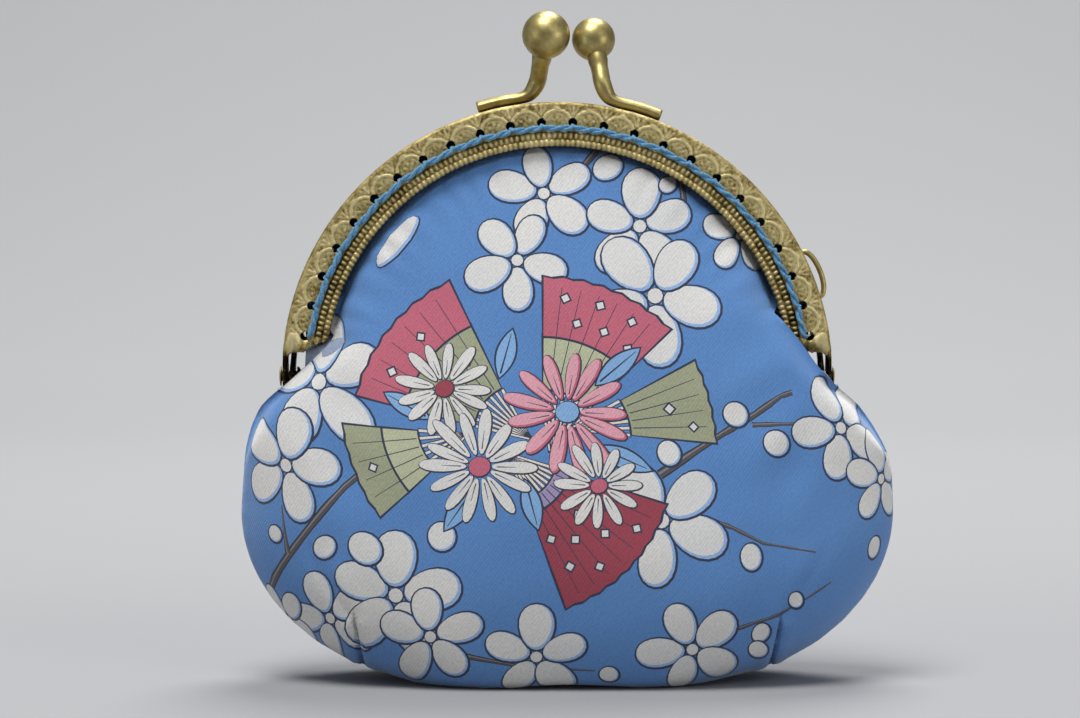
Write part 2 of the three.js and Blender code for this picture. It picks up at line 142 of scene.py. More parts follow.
def smooth(value, start, end):
    """Rises from 0 to 1 as value goes from start to end."""
    t = np.clip((np.asarray(value, float) - start) / (end - start), 0.0, 1.0)
    return t * t * (3.0 - 2.0 * t)


def blend(a, b, t):
    return a + (b - a) * t


def bell(distance, width):
    return np.exp(-((distance / width) ** 2))


def unit(rows):
    """Rows of vectors brought to length 1."""
    return rows / np.linalg.norm(rows, axis=1)[:, None]


def ray(angle):
    return np.array([math.cos(angle), math.sin(angle)])


def turned(x, y, angle):
    """Points turned about the origin."""
    c, s = math.cos(angle), math.sin(angle)
    return np.stack([x * c - y * s, x * s + y * c], axis=1)


def curve_point(start, control, end, t):
    """A point on the curve from start to end that leans towards control."""
    near, middle, far = (1 - t) ** 2, 2 * t * (1 - t), t * t
    return tuple(near * a + middle * b + far * c for a, b, c in zip(start, control, end))


def segment_distance(x, y, start, end):
    """Distance of points to a line segment, and how far along it they lie, from 0 to 1."""
    dx, dy = end[0] - start[0], end[1] - start[1]
    along = np.clip(((x - start[0]) * dx + (y - start[1]) * dy) / (dx * dx + dy * dy), 0.0, 1.0)
    return np.hypot(x - start[0] - along * dx, y - start[1] - along * dy), along


def soft_noise(x, y, scale, seed):
    """A smooth field of low waves between about -1 and 1."""
    chance = np.random.default_rng(seed)
    total = np.zeros_like(x, dtype=float)
    for _ in range(7):
        angle = chance.uniform(0, math.tau)
        wave = scale * chance.uniform(0.7, 1.5)
        phase = chance.uniform(0, math.tau)
        total += np.sin(math.tau * (x * math.cos(angle) + y * math.sin(angle)) / wave + phase)
    return total / 4.0


def spline(points, count):
    """A smooth path through a few points."""
    points = np.asarray(points, float)
    padded = np.vstack([2 * points[0] - points[1], points, 2 * points[-1] - points[-2]])
    path = []
    for share in np.linspace(0, len(points) - 1 - 1e-9, count):
        k = int(share)
        t = share - k
        a, b, c, d = padded[k : k + 4]
        square, cube = 2 * a - 5 * b + 4 * c - d, 3 * b - a - 3 * c + d
        path.append(0.5 * (2 * b + (c - a) * t + square * t**2 + cube * t**3))
    return np.array(path)


# Mesh helpers


def make_mesh(name, points_mm, faces, material):
    mesh = bpy.data.meshes.new(name)
    mesh.from_pydata((np.asarray(points_mm) * MM).tolist(), [], faces)
    mesh.polygons.foreach_set("use_smooth", [True] * len(mesh.polygons))
    mesh.materials.append(material)
    mesh.update()
    obj = bpy.data.objects.new(name, mesh)
    bpy.context.scene.collection.objects.link(obj)
    return obj


def thicken(obj, thickness_mm, back, edge_too):
    """Gives a sheet its thickness inwards, with another material on its back and, if asked, its edge."""
    obj.data.materials.append(back)
    modifier = obj.modifiers.new("thickness", "SOLIDIFY")
    modifier.thickness = thickness_mm * MM
    modifier.offset = -1.0
    modifier.use_even_offset = False
    modifier.material_offset = 1
    modifier.material_offset_rim = 1 if edge_too else 0
    bpy.context.view_layer.update()
    evaluated = obj.evaluated_get(bpy.context.evaluated_depsgraph_get())
    mesh = bpy.data.meshes.new_from_object(evaluated)
    obj.modifiers.clear()
    obj.data = mesh


def point_attribute(obj, name, values):
    attribute = obj.data.attributes.new(name, "FLOAT", "POINT")
    attribute.data.foreach_set("value", np.asarray(values, np.float32))


def turns_left(polygon):
    """Whether a polygon's corners run anticlockwise."""
    x, y = np.asarray(polygon, float).T
    return np.sum(x * np.roll(y, -1) - np.roll(x, -1) * y) > 0


def triangulate(points, outline, holes, shapes):
    """Fills a flat outline with triangles that follow every shape drawn on it.

    Returns the corner points, the triangles, and for each triangle the number of the
    topmost shape that covers it, or -1 on the bare ground.
    """
    corners = [Vector(p) for p in points]
    faces = []
    for polygon in [outline, *holes, *shapes]:
        face = list(range(len(corners), len(corners) + len(polygon)))
        faces.append(face if turns_left(polygon) else face[::-1])
        corners.extend(Vector(p) for p in polygon)
    found = delaunay_2d_cdt(corners, [], faces, 0, 1e-5)
    first_shape = 1 + len(holes)
    triangles, tops = [], []
    for triangle, owners in zip(found[2], found[5]):
        inside = 0 in owners and not any(1 <= owner < first_shape for owner in owners)
        if inside:
            triangles.append(triangle)
            tops.append(max(owners) - first_shape if max(owners) >= first_shape else -1)
    used = sorted({corner for triangle in triangles for corner in triangle})
    place = {corner: k for k, corner in enumerate(used)}
    triangles = [[place[corner] for corner in triangle] for triangle in triangles]
    flat = np.array([found[0][corner][:] for corner in used])
    return flat, triangles, tops


def grid_points(low, high, step_x, step_y):
    """Staggered points over a rectangle."""
    points = []
    rows = max(1, int(round((high[1] - low[1]) / step_y)))
    columns = max(1, int(round((high[0] - low[0]) / step_x)))
    for r in range(rows + 1):
        y = blend(low[1], high[1], r / rows)
        shift = 0.25 * (1 if r % 2 else -1) * step_x
        for c in range(columns + 1):
            points.append((blend(low[0], high[0], c / columns) + shift, y))
    return points


def tube_faces(rings, sides):
    """Faces of a tube through rings of points, closed at both ends."""
    faces = []
    for k in range(rings - 1):
        for s in range(sides):
            t = (s + 1) % sides
            faces.append((k * sides + s, k * sides + t, (k + 1) * sides + t, (k + 1) * sides + s))
    faces.append(tuple(range(sides))[::-1])
    faces.append(tuple(range((rings - 1) * sides, rings * sides)))
    return faces


def sweep(name, path, radii, sides, material, widths=None):
    """A round bar along a path, closed at both ends. widths flattens or widens it sideways."""
    path = np.asarray(path, float)
    count = len(path)
    tangents = unit(np.gradient(path, axis=0))
    side = np.cross(tangents[0], (0.0, 1.0, 0.0))
    if np.linalg.norm(side) < 1e-3:
        side = np.cross(tangents[0], (0.0, 0.0, 1.0))
    points = []
    for k in range(count):
        side = side - tangents[k] * side.dot(tangents[k])
        side /= np.linalg.norm(side)
        up = np.cross(tangents[k], side)
        wide = widths[k] if widths is not None else radii[k]
        for s in range(sides):
            angle = math.tau * s / sides
            points.append(path[k] + side * radii[k] * math.cos(angle) + up * wide * math.sin(angle))
    return make_mesh(name, points, tube_faces(count, sides), material)


def join(objects, name):
    bpy.ops.object.select_all(action="DESELECT")
    for obj in objects:
        obj.select_set(True)
    bpy.context.view_layer.objects.active = objects[0]
    bpy.ops.object.join()
    joined = bpy.context.view_layer.objects.active
    joined.name = name
    joined.data.name = name
    return joined


def stand_for(obj, node, body):
    """Puts a finished piece in the place of its CAD node, on a body."""
    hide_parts(node)
    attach(obj, body)


def lathe(name, profile, centre, axis_turn, sides, material):
    """A turned piece: profile holds (radius, height along the axis) from end to end."""
    points = []
    for radius, height in profile:
        for s in range(sides):
            angle = math.tau * s / sides
            point = Vector((radius * math.cos(angle), radius * math.sin(angle), height))
            points.append(axis_turn @ point + Vector(centre))
    return make_mesh(name, [p[:] for p in points], tube_faces(len(profile), sides), material)


# Materials


class Nodes:
    """Short names for building a node material."""

    def __init__(self, name):
        self.material = bpy.data.materials.new(name)
        self.material.use_nodes = True
        self.tree = self.material.node_tree
        self.tree.nodes.clear()
        self.output = self.tree.nodes.new("ShaderNodeOutputMaterial")
        self.shader = self.tree.nodes.new("ShaderNodeBsdfPrincipled")
        self.link(self.shader.outputs[0], self.output.inputs["Surface"])

    def add(self, kind, **values):
        node = self.tree.nodes.new(kind)
        for key, value in values.items():
            if hasattr(node, key):
                setattr(node, key, value)
            else:
                node.inputs[key.replace("_", " ")].default_value = value
        return node

    def link(self, source, target):
        self.tree.links.new(source, target)

    def attribute(self, name, output):
        return self.add("ShaderNodeAttribute", attribute_name=name).outputs[output]

    def noise(self, place, scale, detail, roughness=0.5):
        node = self.add("ShaderNodeTexNoise", Scale=scale, Detail=detail, Roughness=roughness)
        self.link(place, node.inputs["Vector"])
        return node.outputs[0]

    def surface(self, **values):
        """Sets values on the shader's own sockets."""
        for key, value in values.items():
            self.shader.inputs[key.replace("_", " ")].default_value = value

    def maths(self, operation, first, second=0.0):
        node = self.add("ShaderNodeMath", operation=operation)
        for socket, value in zip(node.inputs, (first, second)):
            if isinstance(value, (int, float)):
                socket.default_value = value
            else:
                self.link(value, socket)
        return node.outputs[0]

    def mix(self, factor, first, second, blend_type="MIX"):
        node = self.add("ShaderNodeMix", data_type="RGBA", blend_type=blend_type)
        for number, value in ((0, factor), (6, first), (7, second)):
            if isinstance(value, (int, float, tuple)):
                node.inputs[number].default_value = value
            else:
                self.link(value, node.inputs[number])
        return node.outputs[2]

    def tint(self, colour, source, *stops):
        """The colour multiplied by a ramp over a source."""
        return self.mix(1.0, colour, self.ramp(source, *stops), "MULTIPLY")

    def ramp(self, source, *stops):
        node = self.add("ShaderNodeValToRGB")
        while len(node.color_ramp.elements) < len(stops):
            node.color_ramp.elements.new(0.5)
        for element, (position, colour) in zip(node.color_ramp.elements, stops):
            element.position = position
            element.color = colour if len(colour) == 4 else (*colour, 1.0)
        self.link(source, node.inputs[0])
        return node.outputs[0]

    def bump(self, height, strength, distance_mm):
        node = self.add("ShaderNodeBump", Strength=strength, Distance=distance_mm * MM)
        self.link(height, node.inputs["Height"])
        self.link(node.outputs[0], self.shader.inputs["Normal"])


def linear(red, green, blue):
    """An everyday 0 to 255 colour as the linear colour that Blender works in."""
    channels = []
    for value in (red, green, blue):
        share = value / 255.0
        channels.append(share / 12.92 if share <= 0.04045 else ((share + 0.055) / 1.055) ** 2.4)
    return (*channels, 1.0)


BLUE_GROUND = linear(86, 130, 185)
LINING_GREY = linear(140, 152, 174)
# Painted shade for the darts and for where the cloth goes under the rim
CREVICE_SHADE = linear(16, 20, 34)


def cloth_material(name, printed):
    """Cotton crepe: the colour comes from the print, the weave and flecks from the nodes."""
    n = Nodes(name)
    place = n.add("ShaderNodeUVMap", uv_map="cloth_mm").outputs[0]
    colour = n.attribute("print", "Color") if printed else LINING_GREY
    fleck = n.noise(place, 2.2, 3.0, 0.6)
    colour = n.tint(colour, fleck, (0.35, (0.90, 0.91, 0.93)), (0.62, (1.06, 1.05, 1.04)))
    drift = n.noise(place, 0.05, 2.0)
    colour = n.tint(colour, drift, (0.3, (0.94, 0.95, 0.97)), (0.7, (1.04, 1.03, 1.02)))
    slanted = n.add("ShaderNodeMapping", Rotation=(0.0, 0.0, math.radians(38)))
    n.link(place, slanted.inputs["Vector"])
    twill = n.add("ShaderNodeTexWave", Scale=0.7, Distortion=2.6, Detail=2.0, Detail_Scale=2.5)
    n.link(slanted.outputs[0], twill.inputs["Vector"])
    ribs = twill.outputs[1]
    colour = n.tint(colour, ribs, (0.15, (0.945, 0.95, 0.96)), (0.85, (1.035, 1.03, 1.025)))
    if printed:
        # Painted shade in the darts and where the cloth goes under the rim
        colour = n.mix(n.attribute("crevice_shade", "Fac"), colour, CREVICE_SHADE)
    n.link(colour, n.shader.inputs["Base Color"])
    n.bump(n.maths("ADD", n.maths("MULTIPLY", ribs, 0.6), n.maths("MULTIPLY", fleck, 0.9)), 0.4, 0.1)
    n.surface(Roughness=0.88, Sheen_Weight=0.25, Sheen_Roughness=0.5, Specular_IOR_Level=0.25)
    return n.material


def brass_material(name, has_relief, stops, shift):
    """Antique brass plating: dark in the hollows, rubbed bright on what stands proud, with painted shade
    from the relief attribute where it has one.
    """
    n = Nodes(name)
    where = n.add("ShaderNodeTexCoord").outputs["Object"]
    stain = n.noise(where, 420.0, 5.0, 0.6)
    grain = n.noise(where, 2300.0, 3.0, 0.6)
    wear_and_shade = n.maths("ADD", n.maths("MULTIPLY", n.maths("SUBTRACT", stain, 0.5), 0.95), shift)
    if has_relief:
        wear_and_shade = n.maths("ADD", wear_and_shade, n.attribute("relief", "Fac"))
        wear_and_shade = n.maths("ADD", wear_and_shade, n.maths("MULTIPLY", n.maths("SUBTRACT", grain, 0.5), 0.75))
    n.link(n.ramp(wear_and_shade, *stops), n.shader.inputs["Base Color"])
    dull = n.maths("SUBTRACT", 0.66 if has_relief else 0.47, n.maths("MULTIPLY", wear_and_shade, 0.16))
    n.link(n.maths("ADD", dull, n.maths("MULTIPLY", grain, 0.08)), n.shader.inputs["Roughness"])
    n.surface(Metallic=0.92)
    n.bump(n.maths("ADD", grain, stain), 0.25, 0.05)
    return n.material


def thread_material():
    n = Nodes("thread")
    fibre = n.noise(n.add("ShaderNodeTexCoord").outputs["Object"], 3000.0, 3.0)
    colour = n.ramp(fibre, (0.3, linear(46, 104, 146)), (0.7, linear(98, 156, 192)))
    n.link(colour, n.shader.inputs["Base Color"])
    n.surface(Roughness=0.7, Sheen_Weight=0.3)
    n.bump(fibre, 0.4, 0.08)
    return n.material


STAMPED_STOPS = (
    (0.14, linear(34, 27, 15)),
    (0.42, linear(130, 113, 68)),
    (0.68, linear(188, 172, 119)),
    (1.0, linear(218, 204, 154)),
)
PLAIN_STOPS = ((0.2, linear(108, 96, 56)), (0.8, linear(204, 188, 126)))
# Painted shade: a darker copy of the brass for the inner sides of the stamped sheets
SHADED_STOPS = ((0.2, linear(24, 21, 15)), (0.8, linear(58, 50, 34)))
BRASS_RELIEF = brass_material("brass_relief", True, STAMPED_STOPS, 0.3)
BRASS_PLAIN = brass_material("brass_plain", False, PLAIN_STOPS, 0.5)
BRASS_SHADED = brass_material("brass_shaded", False, SHADED_STOPS, 0.5)
PRINTED = cloth_material("printed_cloth", True)
LINING = cloth_material("lining_cloth", False)
THREAD = thread_material()


# Shape of the pouch


CLOTH_SIDES = (spline(LEFT_SHOULDER, 240), spline(RIGHT_SHOULDER, 240))
LINING_SIDES = (spline(LINING_SHOULDER, 240), spline(LINING_SHOULDER, 240))


def belly_shift(z):
    """How far the pouch is set to the right, at heights above its bottom."""
    return BELLY_SHIFT * smooth(HINGE - z, 1.0, 16.0)


def half_width(z, path):
    """Half width of the pouch on one side, at a height above its bottom."""
    rise = z - HINGE
    if z < BELLY_HEIGHT:
        drop = (BELLY_HEIGHT - z) / BELLY_HEIGHT
        edge = np.interp(BELLY_HEIGHT - HINGE, path[:, 0], path[:, 1])
        return BASE_HALF_LENGTH + (edge - BASE_HALF_LENGTH) * (1 - drop**2) ** BELLY_FULLNESS
    width = float(np.interp(rise, path[:, 0], path[:, 1]))
    if rise > 9.0:
        return min(width, math.sqrt(max(0.0, CLOTH_ARCH**2 - rise**2)))
    return width


def middle_depth(z):
    """Half depth of the pouch on its middle line."""
    top = HINGE + CLOTH_WINDOW - 0.6
    drop = np.clip((BELLY_DEPTH_HEIGHT - z) / BELLY_DEPTH_HEIGHT, 0, 1)
    low = BASE_HALF_DEPTH + (BELLY_DEPTH - BASE_HALF_DEPTH) * np.sqrt(1 - drop**2)
    climb = np.clip((z - BELLY_DEPTH_HEIGHT) / (top - BELLY_DEPTH_HEIGHT), 0, 1)
    high = CLOTH_FACE + (BELLY_DEPTH - CLOTH_FACE) * (1 - climb**1.6)
    return np.where(z < BELLY_DEPTH_HEIGHT, low, high)


def half_row(z, across, inset, path, laps):
    """Distances from the middle and depths of one side of a level row, for shares across from 0 to 1."""
    rise = z - HINGE
    width = half_width(z, path)
    window = math.sqrt(max(0.0, CLOTH_WINDOW**2 - rise**2))
    parted = float(smooth(rise, SEAM_TOP, SHOULDER_TOP))
    edge = parted * blend(3.6, CLOTH_FACE, float(smooth(rise, SHOULDER_TOP, 5.0))) + 0.02
    if laps:
        lapped = float(smooth(rise, SHOULDER_TOP - 1.0, 1.0))
        lapped *= 1 - float(smooth(rise, LAP_TOP - 1.7, LAP_TOP + 0.5))
        edge = blend(edge, LAP_FACE, lapped)
        form_edge = blend(LAP_FACE, CLOTH_FACE, float(smooth(rise, 9.0, 24.0)))
        tuck = LAP_TOP - 0.8
    else:
        edge += PROUD_EDGE * float(smooth(rise, SEAM_TOP, 0.0)) * (1 - float(smooth(rise, 3.0, 8.6)))
        form_edge = CLOTH_FACE + PROUD_EDGE * (1 - float(smooth(rise, 4.0, 20.0)))
        tuck = 7.0
    form_edge *= float(smooth(rise, -16.0, 4.0))
    wide = half_width(min(z, HINGE - SHOULDER_REACH), path)
    form_width = blend(wide, max(window, 0.5 * width), float(smooth(rise, -SHOULDER_REACH, 15.0)))
    middle = max(form_edge, float(middle_depth(np.array(z))))
    upper = float(smooth(rise, -16.0, 18.0))
    x = across * width
    share = np.clip(x / max(form_width, 1e-6), 0, 1)
    swell = (1 - share ** blend(2.4, 2.0, upper)) ** blend(0.52, 0.85, upper)
    start = blend(width, window, float(smooth(rise, tuck - 1.5, tuck)))
    reach = blend(0.1, 2.4, float(smooth(rise, -15.0, -3.0)))
    at_edge = bell(np.maximum(start - x, 0.0), reach)
    depth = blend(form_edge + (middle - form_edge) * swell, edge, at_edge)
    return x, np.maximum(depth - inset, 0.02)


def cloth_row(z, across, inset):
    """Points of one level row of the cloth, for shares across from -1 to 1."""
    sides = LINING_SIDES if inset else CLOTH_SIDES
    left = half_row(z, np.clip(-across, 0, 1), inset, sides[0], False)
    right = half_row(z, np.clip(across, 0, 1), inset, sides[1], not inset)
    on_right = across > 0
    x = np.where(on_right, right[0], -left[0])
    return np.stack([x, np.where(on_right, right[1], left[1]), np.full_like(x, z)], axis=1)


class ClothSurface:
    """The front cloth, laid out flat: u runs across and v up the middle line, both in millimetres."""

    HALF_COLUMNS = 200
    BASE_ROWS = 14

    def __init__(self, inset):
        self.inset = inset
        across = np.sin(np.linspace(-1, 1, 601) * math.pi / 2)
        rows = []
        for share in np.linspace(0, 1, self.BASE_ROWS)[:-1]:
            width = blend(BASE_SEAM_HALF, BASE_HALF_LENGTH, share)
            depth = share * BASE_HALF_DEPTH * (1 - np.abs(across) ** 2.4) ** 0.52
            depth = np.maximum(depth - inset * share, 0.02)
            rows.append(np.stack([across * width, depth, np.full_like(across, inset)], axis=1))
        low = (1 - np.cos(np.linspace(0, 1, 90) * math.pi / 2)) * BELLY_DEPTH_HEIGHT
        high = np.linspace(BELLY_DEPTH_HEIGHT, HINGE - 5, 60)[1:]
        hinge = np.linspace(HINGE - 5, HINGE + 14, 110)[1:]
        top = HINGE + np.sin(np.linspace(math.asin(14 / CLOTH_ARCH), math.pi * 0.497, 84)) * CLOTH_ARCH
        for z in np.concatenate([low, high, hinge, top[1:]]):
            row = cloth_row(float(z), across, inset)
            row[:, 2] = max(z, inset)
            rows.append(row)
        centre = len(across) // 2
        left_sides = [self.spread(row[centre::-1]) for row in rows]
        right_sides = [self.spread(row[centre:]) for row in rows]
        self.left = np.array([length for _, length in left_sides])
        self.right = np.array([length for _, length in right_sides])
        sides = zip(left_sides, right_sides)
        self.table = np.array([np.concatenate([left[0][:0:-1], right[0]]) for left, right in sides])
        middle = self.table[:, self.HALF_COLUMNS]
        steps = np.linalg.norm(np.diff(middle, axis=0), axis=1)
        self.v = np.concatenate([[0], np.cumsum(steps)]) - BASE_HALF_DEPTH
        self.level_view = (self.table[self.BASE_ROWS :, :, 0], self.table[self.BASE_ROWS :, :, 2] - HINGE)
        self.camera_view = self.seen()

    def spread(self, path):
        """The same path with evenly spaced points, and its length."""
        along = np.concatenate([[0], np.cumsum(np.linalg.norm(np.diff(path, axis=0), axis=1))])
        wanted = np.linspace(0, along[-1], self.HALF_COLUMNS + 1)
        return np.stack([np.interp(wanted, along, path[:, k]) for k in range(3)], axis=1), along[-1]

    def half(self, flat):
        """Length from the middle line to the edge, on the side where each flat point lies."""
        left = np.interp(flat[:, 1], self.v, self.left)
        right = np.interp(flat[:, 1], self.v, self.right)
        return np.where(flat[:, 0] < 0, left, right)

    def at(self, flat):
        """Points on the surface, with y counted as depth from the seam plane."""
        row = np.interp(flat[:, 1], self.v, np.arange(len(self.v)))
        column = (np.clip(flat[:, 0] / self.half(flat), -1, 1) + 1) * self.HALF_COLUMNS
        r0 = np.minimum(row.astype(int), len(self.v) - 2)
        c0 = np.minimum(column.astype(int), 2 * self.HALF_COLUMNS - 1)
        fr = (row - r0)[:, None]
        fc = (column - c0)[:, None]
        near = blend(self.table[r0, c0], self.table[r0, c0 + 1], fc)
        far = blend(self.table[r0 + 1, c0], self.table[r0 + 1, c0 + 1], fc)
        return blend(near, far, fr)

    def seen(self):
        """The table as the camera sees it: x and height above the hinge, in the plane of the arch."""
        x, depth, z = np.moveaxis(self.table[self.BASE_ROWS :], 2, 0)
        c, s = math.cos(CAMERA_ELEVATION), math.sin(CAMERA_ELEVATION)
        right = x + belly_shift(z) - AIM_X
        y = CAMERA_DISTANCE * c - depth
        up = z - HINGE - AIM_RISE - CAMERA_DISTANCE * s
        scale = CAMERA_DISTANCE / (y * c - up * s)
        return AIM_X + right * scale, AIM_RISE + (y * s + up * c) * scale

    def flat_of(self, view, x, rise):
        """Where the point at x and a height above the hinge, in one view, lies on the flat cloth."""
        gap = (view[0] - x) ** 2 + (view[1] - rise) ** 2
        row, column = np.unravel_index(np.argmin(gap), gap.shape)
        row += self.BASE_ROWS
        share = column / self.HALF_COLUMNS - 1
        return (share * (self.left[row] if share < 0 else self.right[row]), self.v[row])

    def outline(self, step):
        """The edge of the flat cloth."""
        heights = np.append(np.arange(self.v[0], self.v[-1], step), self.v[-1])
        left = np.interp(heights, self.v, self.left)
        right = np.interp(heights, self.v, self.right)
        bottom = np.linspace(-left[0], right[0], int(2 * right[0] / step) + 1)[1:-1]
        top = np.linspace(right[-1], -left[-1], 5)[1:-1]
        edge = [(x, heights[0]) for x in bottom] + list(zip(right, heights))
        return edge + [(x, heights[-1]) for x in top] + list(zip(-left[::-1], heights[::-1]))


FLAT_CLOTH = ClothSurface(0.0)
FLAT_LINING = ClothSurface(LINING_INSET)
FRONT_FOLDS = 3
REAR_FOLDS = 8


# The print: blossoms, buds, branches, fans and chrysanthemums as flat shapes

INK = linear(50, 56, 76)
WHITE = linear(210, 209, 206)
PALE = linear(142, 172, 212)
BARK = linear(80, 78, 82)
BARK_DARK = linear(46, 45, 52)
BARK_LIGHT = linear(124, 122, 124)
CRIMSON = linear(150, 66, 80)
PINK = linear(184, 98, 116)
ROSE = linear(214, 156, 168)
SAGE = linear(152, 156, 128)
SAGE_LIGHT = linear(176, 180, 150)
LEAF = linear(126, 166, 208)
CREAM = linear(214, 208, 200)
LILAC = linear(150, 138, 172)
PETAL_LINE = 0.27


class Print:
    """Shapes drawn on the flat cloth, the last on top."""

    def __init__(self, cloth, seed):
        self.cloth = cloth
        self.chance = random.Random(seed)
        self.shapes = []
        self.colours = []

    def place(self, x, rise):
        return np.array(self.cloth.flat_of(self.cloth.camera_view, x, rise))

    def add(self, polygon, colour):
        self.shapes.append([(float(p[0]), float(p[1])) for p in polygon])
        self.colours.append(colour)

    def blob(self, centre, along, across, turn, colour, egg=0.0, points=20, shift=(0.0, 0.0)):
        """An oval, fuller towards its far end when egg is above 0."""
        angle = np.arange(points) * math.tau / points
        x = along * np.cos(angle)
        y = across * np.sin(angle) * (1 + egg * np.cos(angle))
        self.add(turned(x, y, turn) + centre + shift, colour)

    def inked(self, centre, along, across, turn, fill, shade, line=0.18, egg=0.0, points=20):
        """An oval with an ink line that is heavier below, a shaded lower edge if asked, and its fill."""
        half = line * 0.6
        self.blob(centre, along + half, across + half, turn, INK, egg, points, (0.06, -0.07))
        self.blob(centre, along - half, across - half, turn, shade or fill, egg, points)
        if shade:
            lift = 0.055 * (along + across) / 2
            size = 1.2 * lift + half
            self.blob(centre, along - size, across - size, turn, fill, egg, points, (-lift, lift))

    def blossom(self, x, rise, radius, turn_degrees):
        """A plum blossom of five round petals about a small centre."""
        centre = self.place(x, rise)
        order = list(range(5))
        self.chance.shuffle(order)
        for k in order:
            turn = math.radians(turn_degrees) + k * math.tau / 5 + self.chance.uniform(-0.09, 0.09)
            size = radius * self.chance.uniform(0.92, 1.06)
            middle = centre + ray(turn) * size * 0.57
            plump = self.chance.uniform(0.29, 0.34)
            self.inked(middle, size * 0.45, size * plump, turn, WHITE, PALE, PETAL_LINE, 0.14)
        self.inked(centre, radius * 0.12, radius * 0.12, 0.0, WHITE, None, 0.14, 0.0, 12)

    def bud(self, x, rise, radius, stretch=1.0):
        centre = self.place(x, rise)
        turn = self.chance.uniform(0, math.pi)
        self.inked(centre, radius * stretch, radius, turn, WHITE, PALE, PETAL_LINE, 0.0, 18)

    def stroke(self, points, widths, colour, shift=0.0):
        """A brush stroke of changing width through points on the flat cloth."""
        points = np.asarray(points, float)
        share = np.linspace(0, len(points) - 1, 4 * (len(points) - 1) + 1)
        line = np.stack([np.interp(share, range(len(points)), points[:, k]) for k in range(2)], axis=1)
        wide = np.interp(share, np.linspace(0, len(points) - 1, len(widths)), widths)
        direction = unit(np.gradient(line, axis=0))
        normal = np.stack([-direction[:, 1], direction[:, 0]], axis=1)
        line = line + normal * shift
        side = normal * wide[:, None] / 2
        self.add(np.concatenate([line + side, (line - side)[::-1]]), colour)

    def branch(self, stops, width, tip=0.35):
        """A knotted twig through points seen from the front."""
        points = [self.place(x, rise) for x, rise in stops]
        steps = 3 * len(points)
        widths = blend(width, width * tip, np.arange(steps + 1) / steps)
        widths = np.array([wide * self.chance.uniform(0.8, 1.2) for wide in widths])
        self.stroke(points, widths, BARK_DARK)
        self.stroke(points, 0.72 * widths, BARK)
        self.stroke(points, 0.2 * widths, BARK_LIGHT, 0.14 * width)

    def chrysanthemum(self, x, rise, radius, petals, fill, shade, heart):
        """A daisy-like flower of one ring of petals, each with a vein, about a round heart."""
        centre = self.place(x, rise)
        for k in range(petals):
            turn = k * math.tau / petals + self.chance.uniform(-0.06, 0.06)
            size = radius * self.chance.uniform(0.92, 1.05)
            out = ray(turn) * size
            across = size * 1.5 / petals
            self.inked(centre + out * 0.6, size * 0.4, across, turn, fill, shade, 0.16, 0.22, 16)
            self.stroke([centre + out * 0.3, centre + out * 0.62], [0.18, 0.06], INK)
        self.inked(centre, radius * 0.2, radius * 0.17, 0.4, heart, None, 0.16, 0.0, 14)

    def leaf(self, x, rise, length, width, turn_degrees, fill, vein):
        centre = self.place(x, rise)
        turn = math.radians(turn_degrees)
        for grow, colour in ((0.2, INK), (-0.12, fill)):
            t = np.linspace(0, 1, 11)
            side = np.sin(math.pi * t) ** 0.85 * (width / 2 + grow)
            along = (t - 0.5) * (length + 2.5 * grow)
            along = np.concatenate([along, along[-2:0:-1]])
            side = np.concatenate([side, -side[-2:0:-1]])
            self.add(turned(along, side, turn) + centre, colour)
        tip = ray(turn) * length * 0.4
        self.stroke([centre - tip, centre, centre + tip], [0.3, 0.22, 0.1], vein)

    def fan(self, x, rise, radius, start_degrees, end_degrees, folds, bands, squares):
        """An open folding fan: pleated paper in coloured bands on a pivot, with small squares."""
        pivot = self.place(x, rise)
        start, end = math.radians(start_degrees), math.radians(end_degrees)

        def sector(inner, outer, grow):
            angles = np.linspace(start - grow / outer, end + grow / outer, 8 * folds + 1)
            crest = outer + grow + 0.012 * radius * np.abs(np.arange(8 * folds + 1) % 8 - 4) / 4
            rays = np.stack([np.cos(angles), np.sin(angles)], axis=1)
            return np.concatenate([crest[:, None] * rays, (inner - grow) * rays[::-1]]) + pivot

        for inner, outer, fill in bands:
            self.add(sector(inner * radius, outer * radius, 0.22), INK)
            self.add(sector(inner * radius, outer * radius, -0.14), fill)
        reach = max(band[1] for band in bands) * radius
        root = min(band[0] for band in bands) * radius
        ribs = [ray(blend(start, end, k / folds)) for k in range(folds + 1)]
        for rib in ribs[1:-1]:
            self.stroke([pivot + rib * root * 1.05, pivot + rib * reach * 0.95], [0.16, 0.1], INK)
        for rib in ribs:
            self.stroke([pivot, pivot + rib * root], [0.5, 0.7], INK)
            self.stroke([pivot + rib * 0.4, pivot + rib * root * 0.98], [0.22, 0.4], CREAM)
        for share, angle_share, size in squares:
            angle = blend(start, end, angle_share)
            centre = pivot + ray(angle) * share * radius
            turn = angle + self.chance.uniform(-0.3, 0.3)
            self.blob(centre, size + 0.25, size + 0.25, turn, INK, 0.0, 4)
            self.blob(centre, size * 0.85, size * 0.85, turn, WHITE, 0.0, 4)


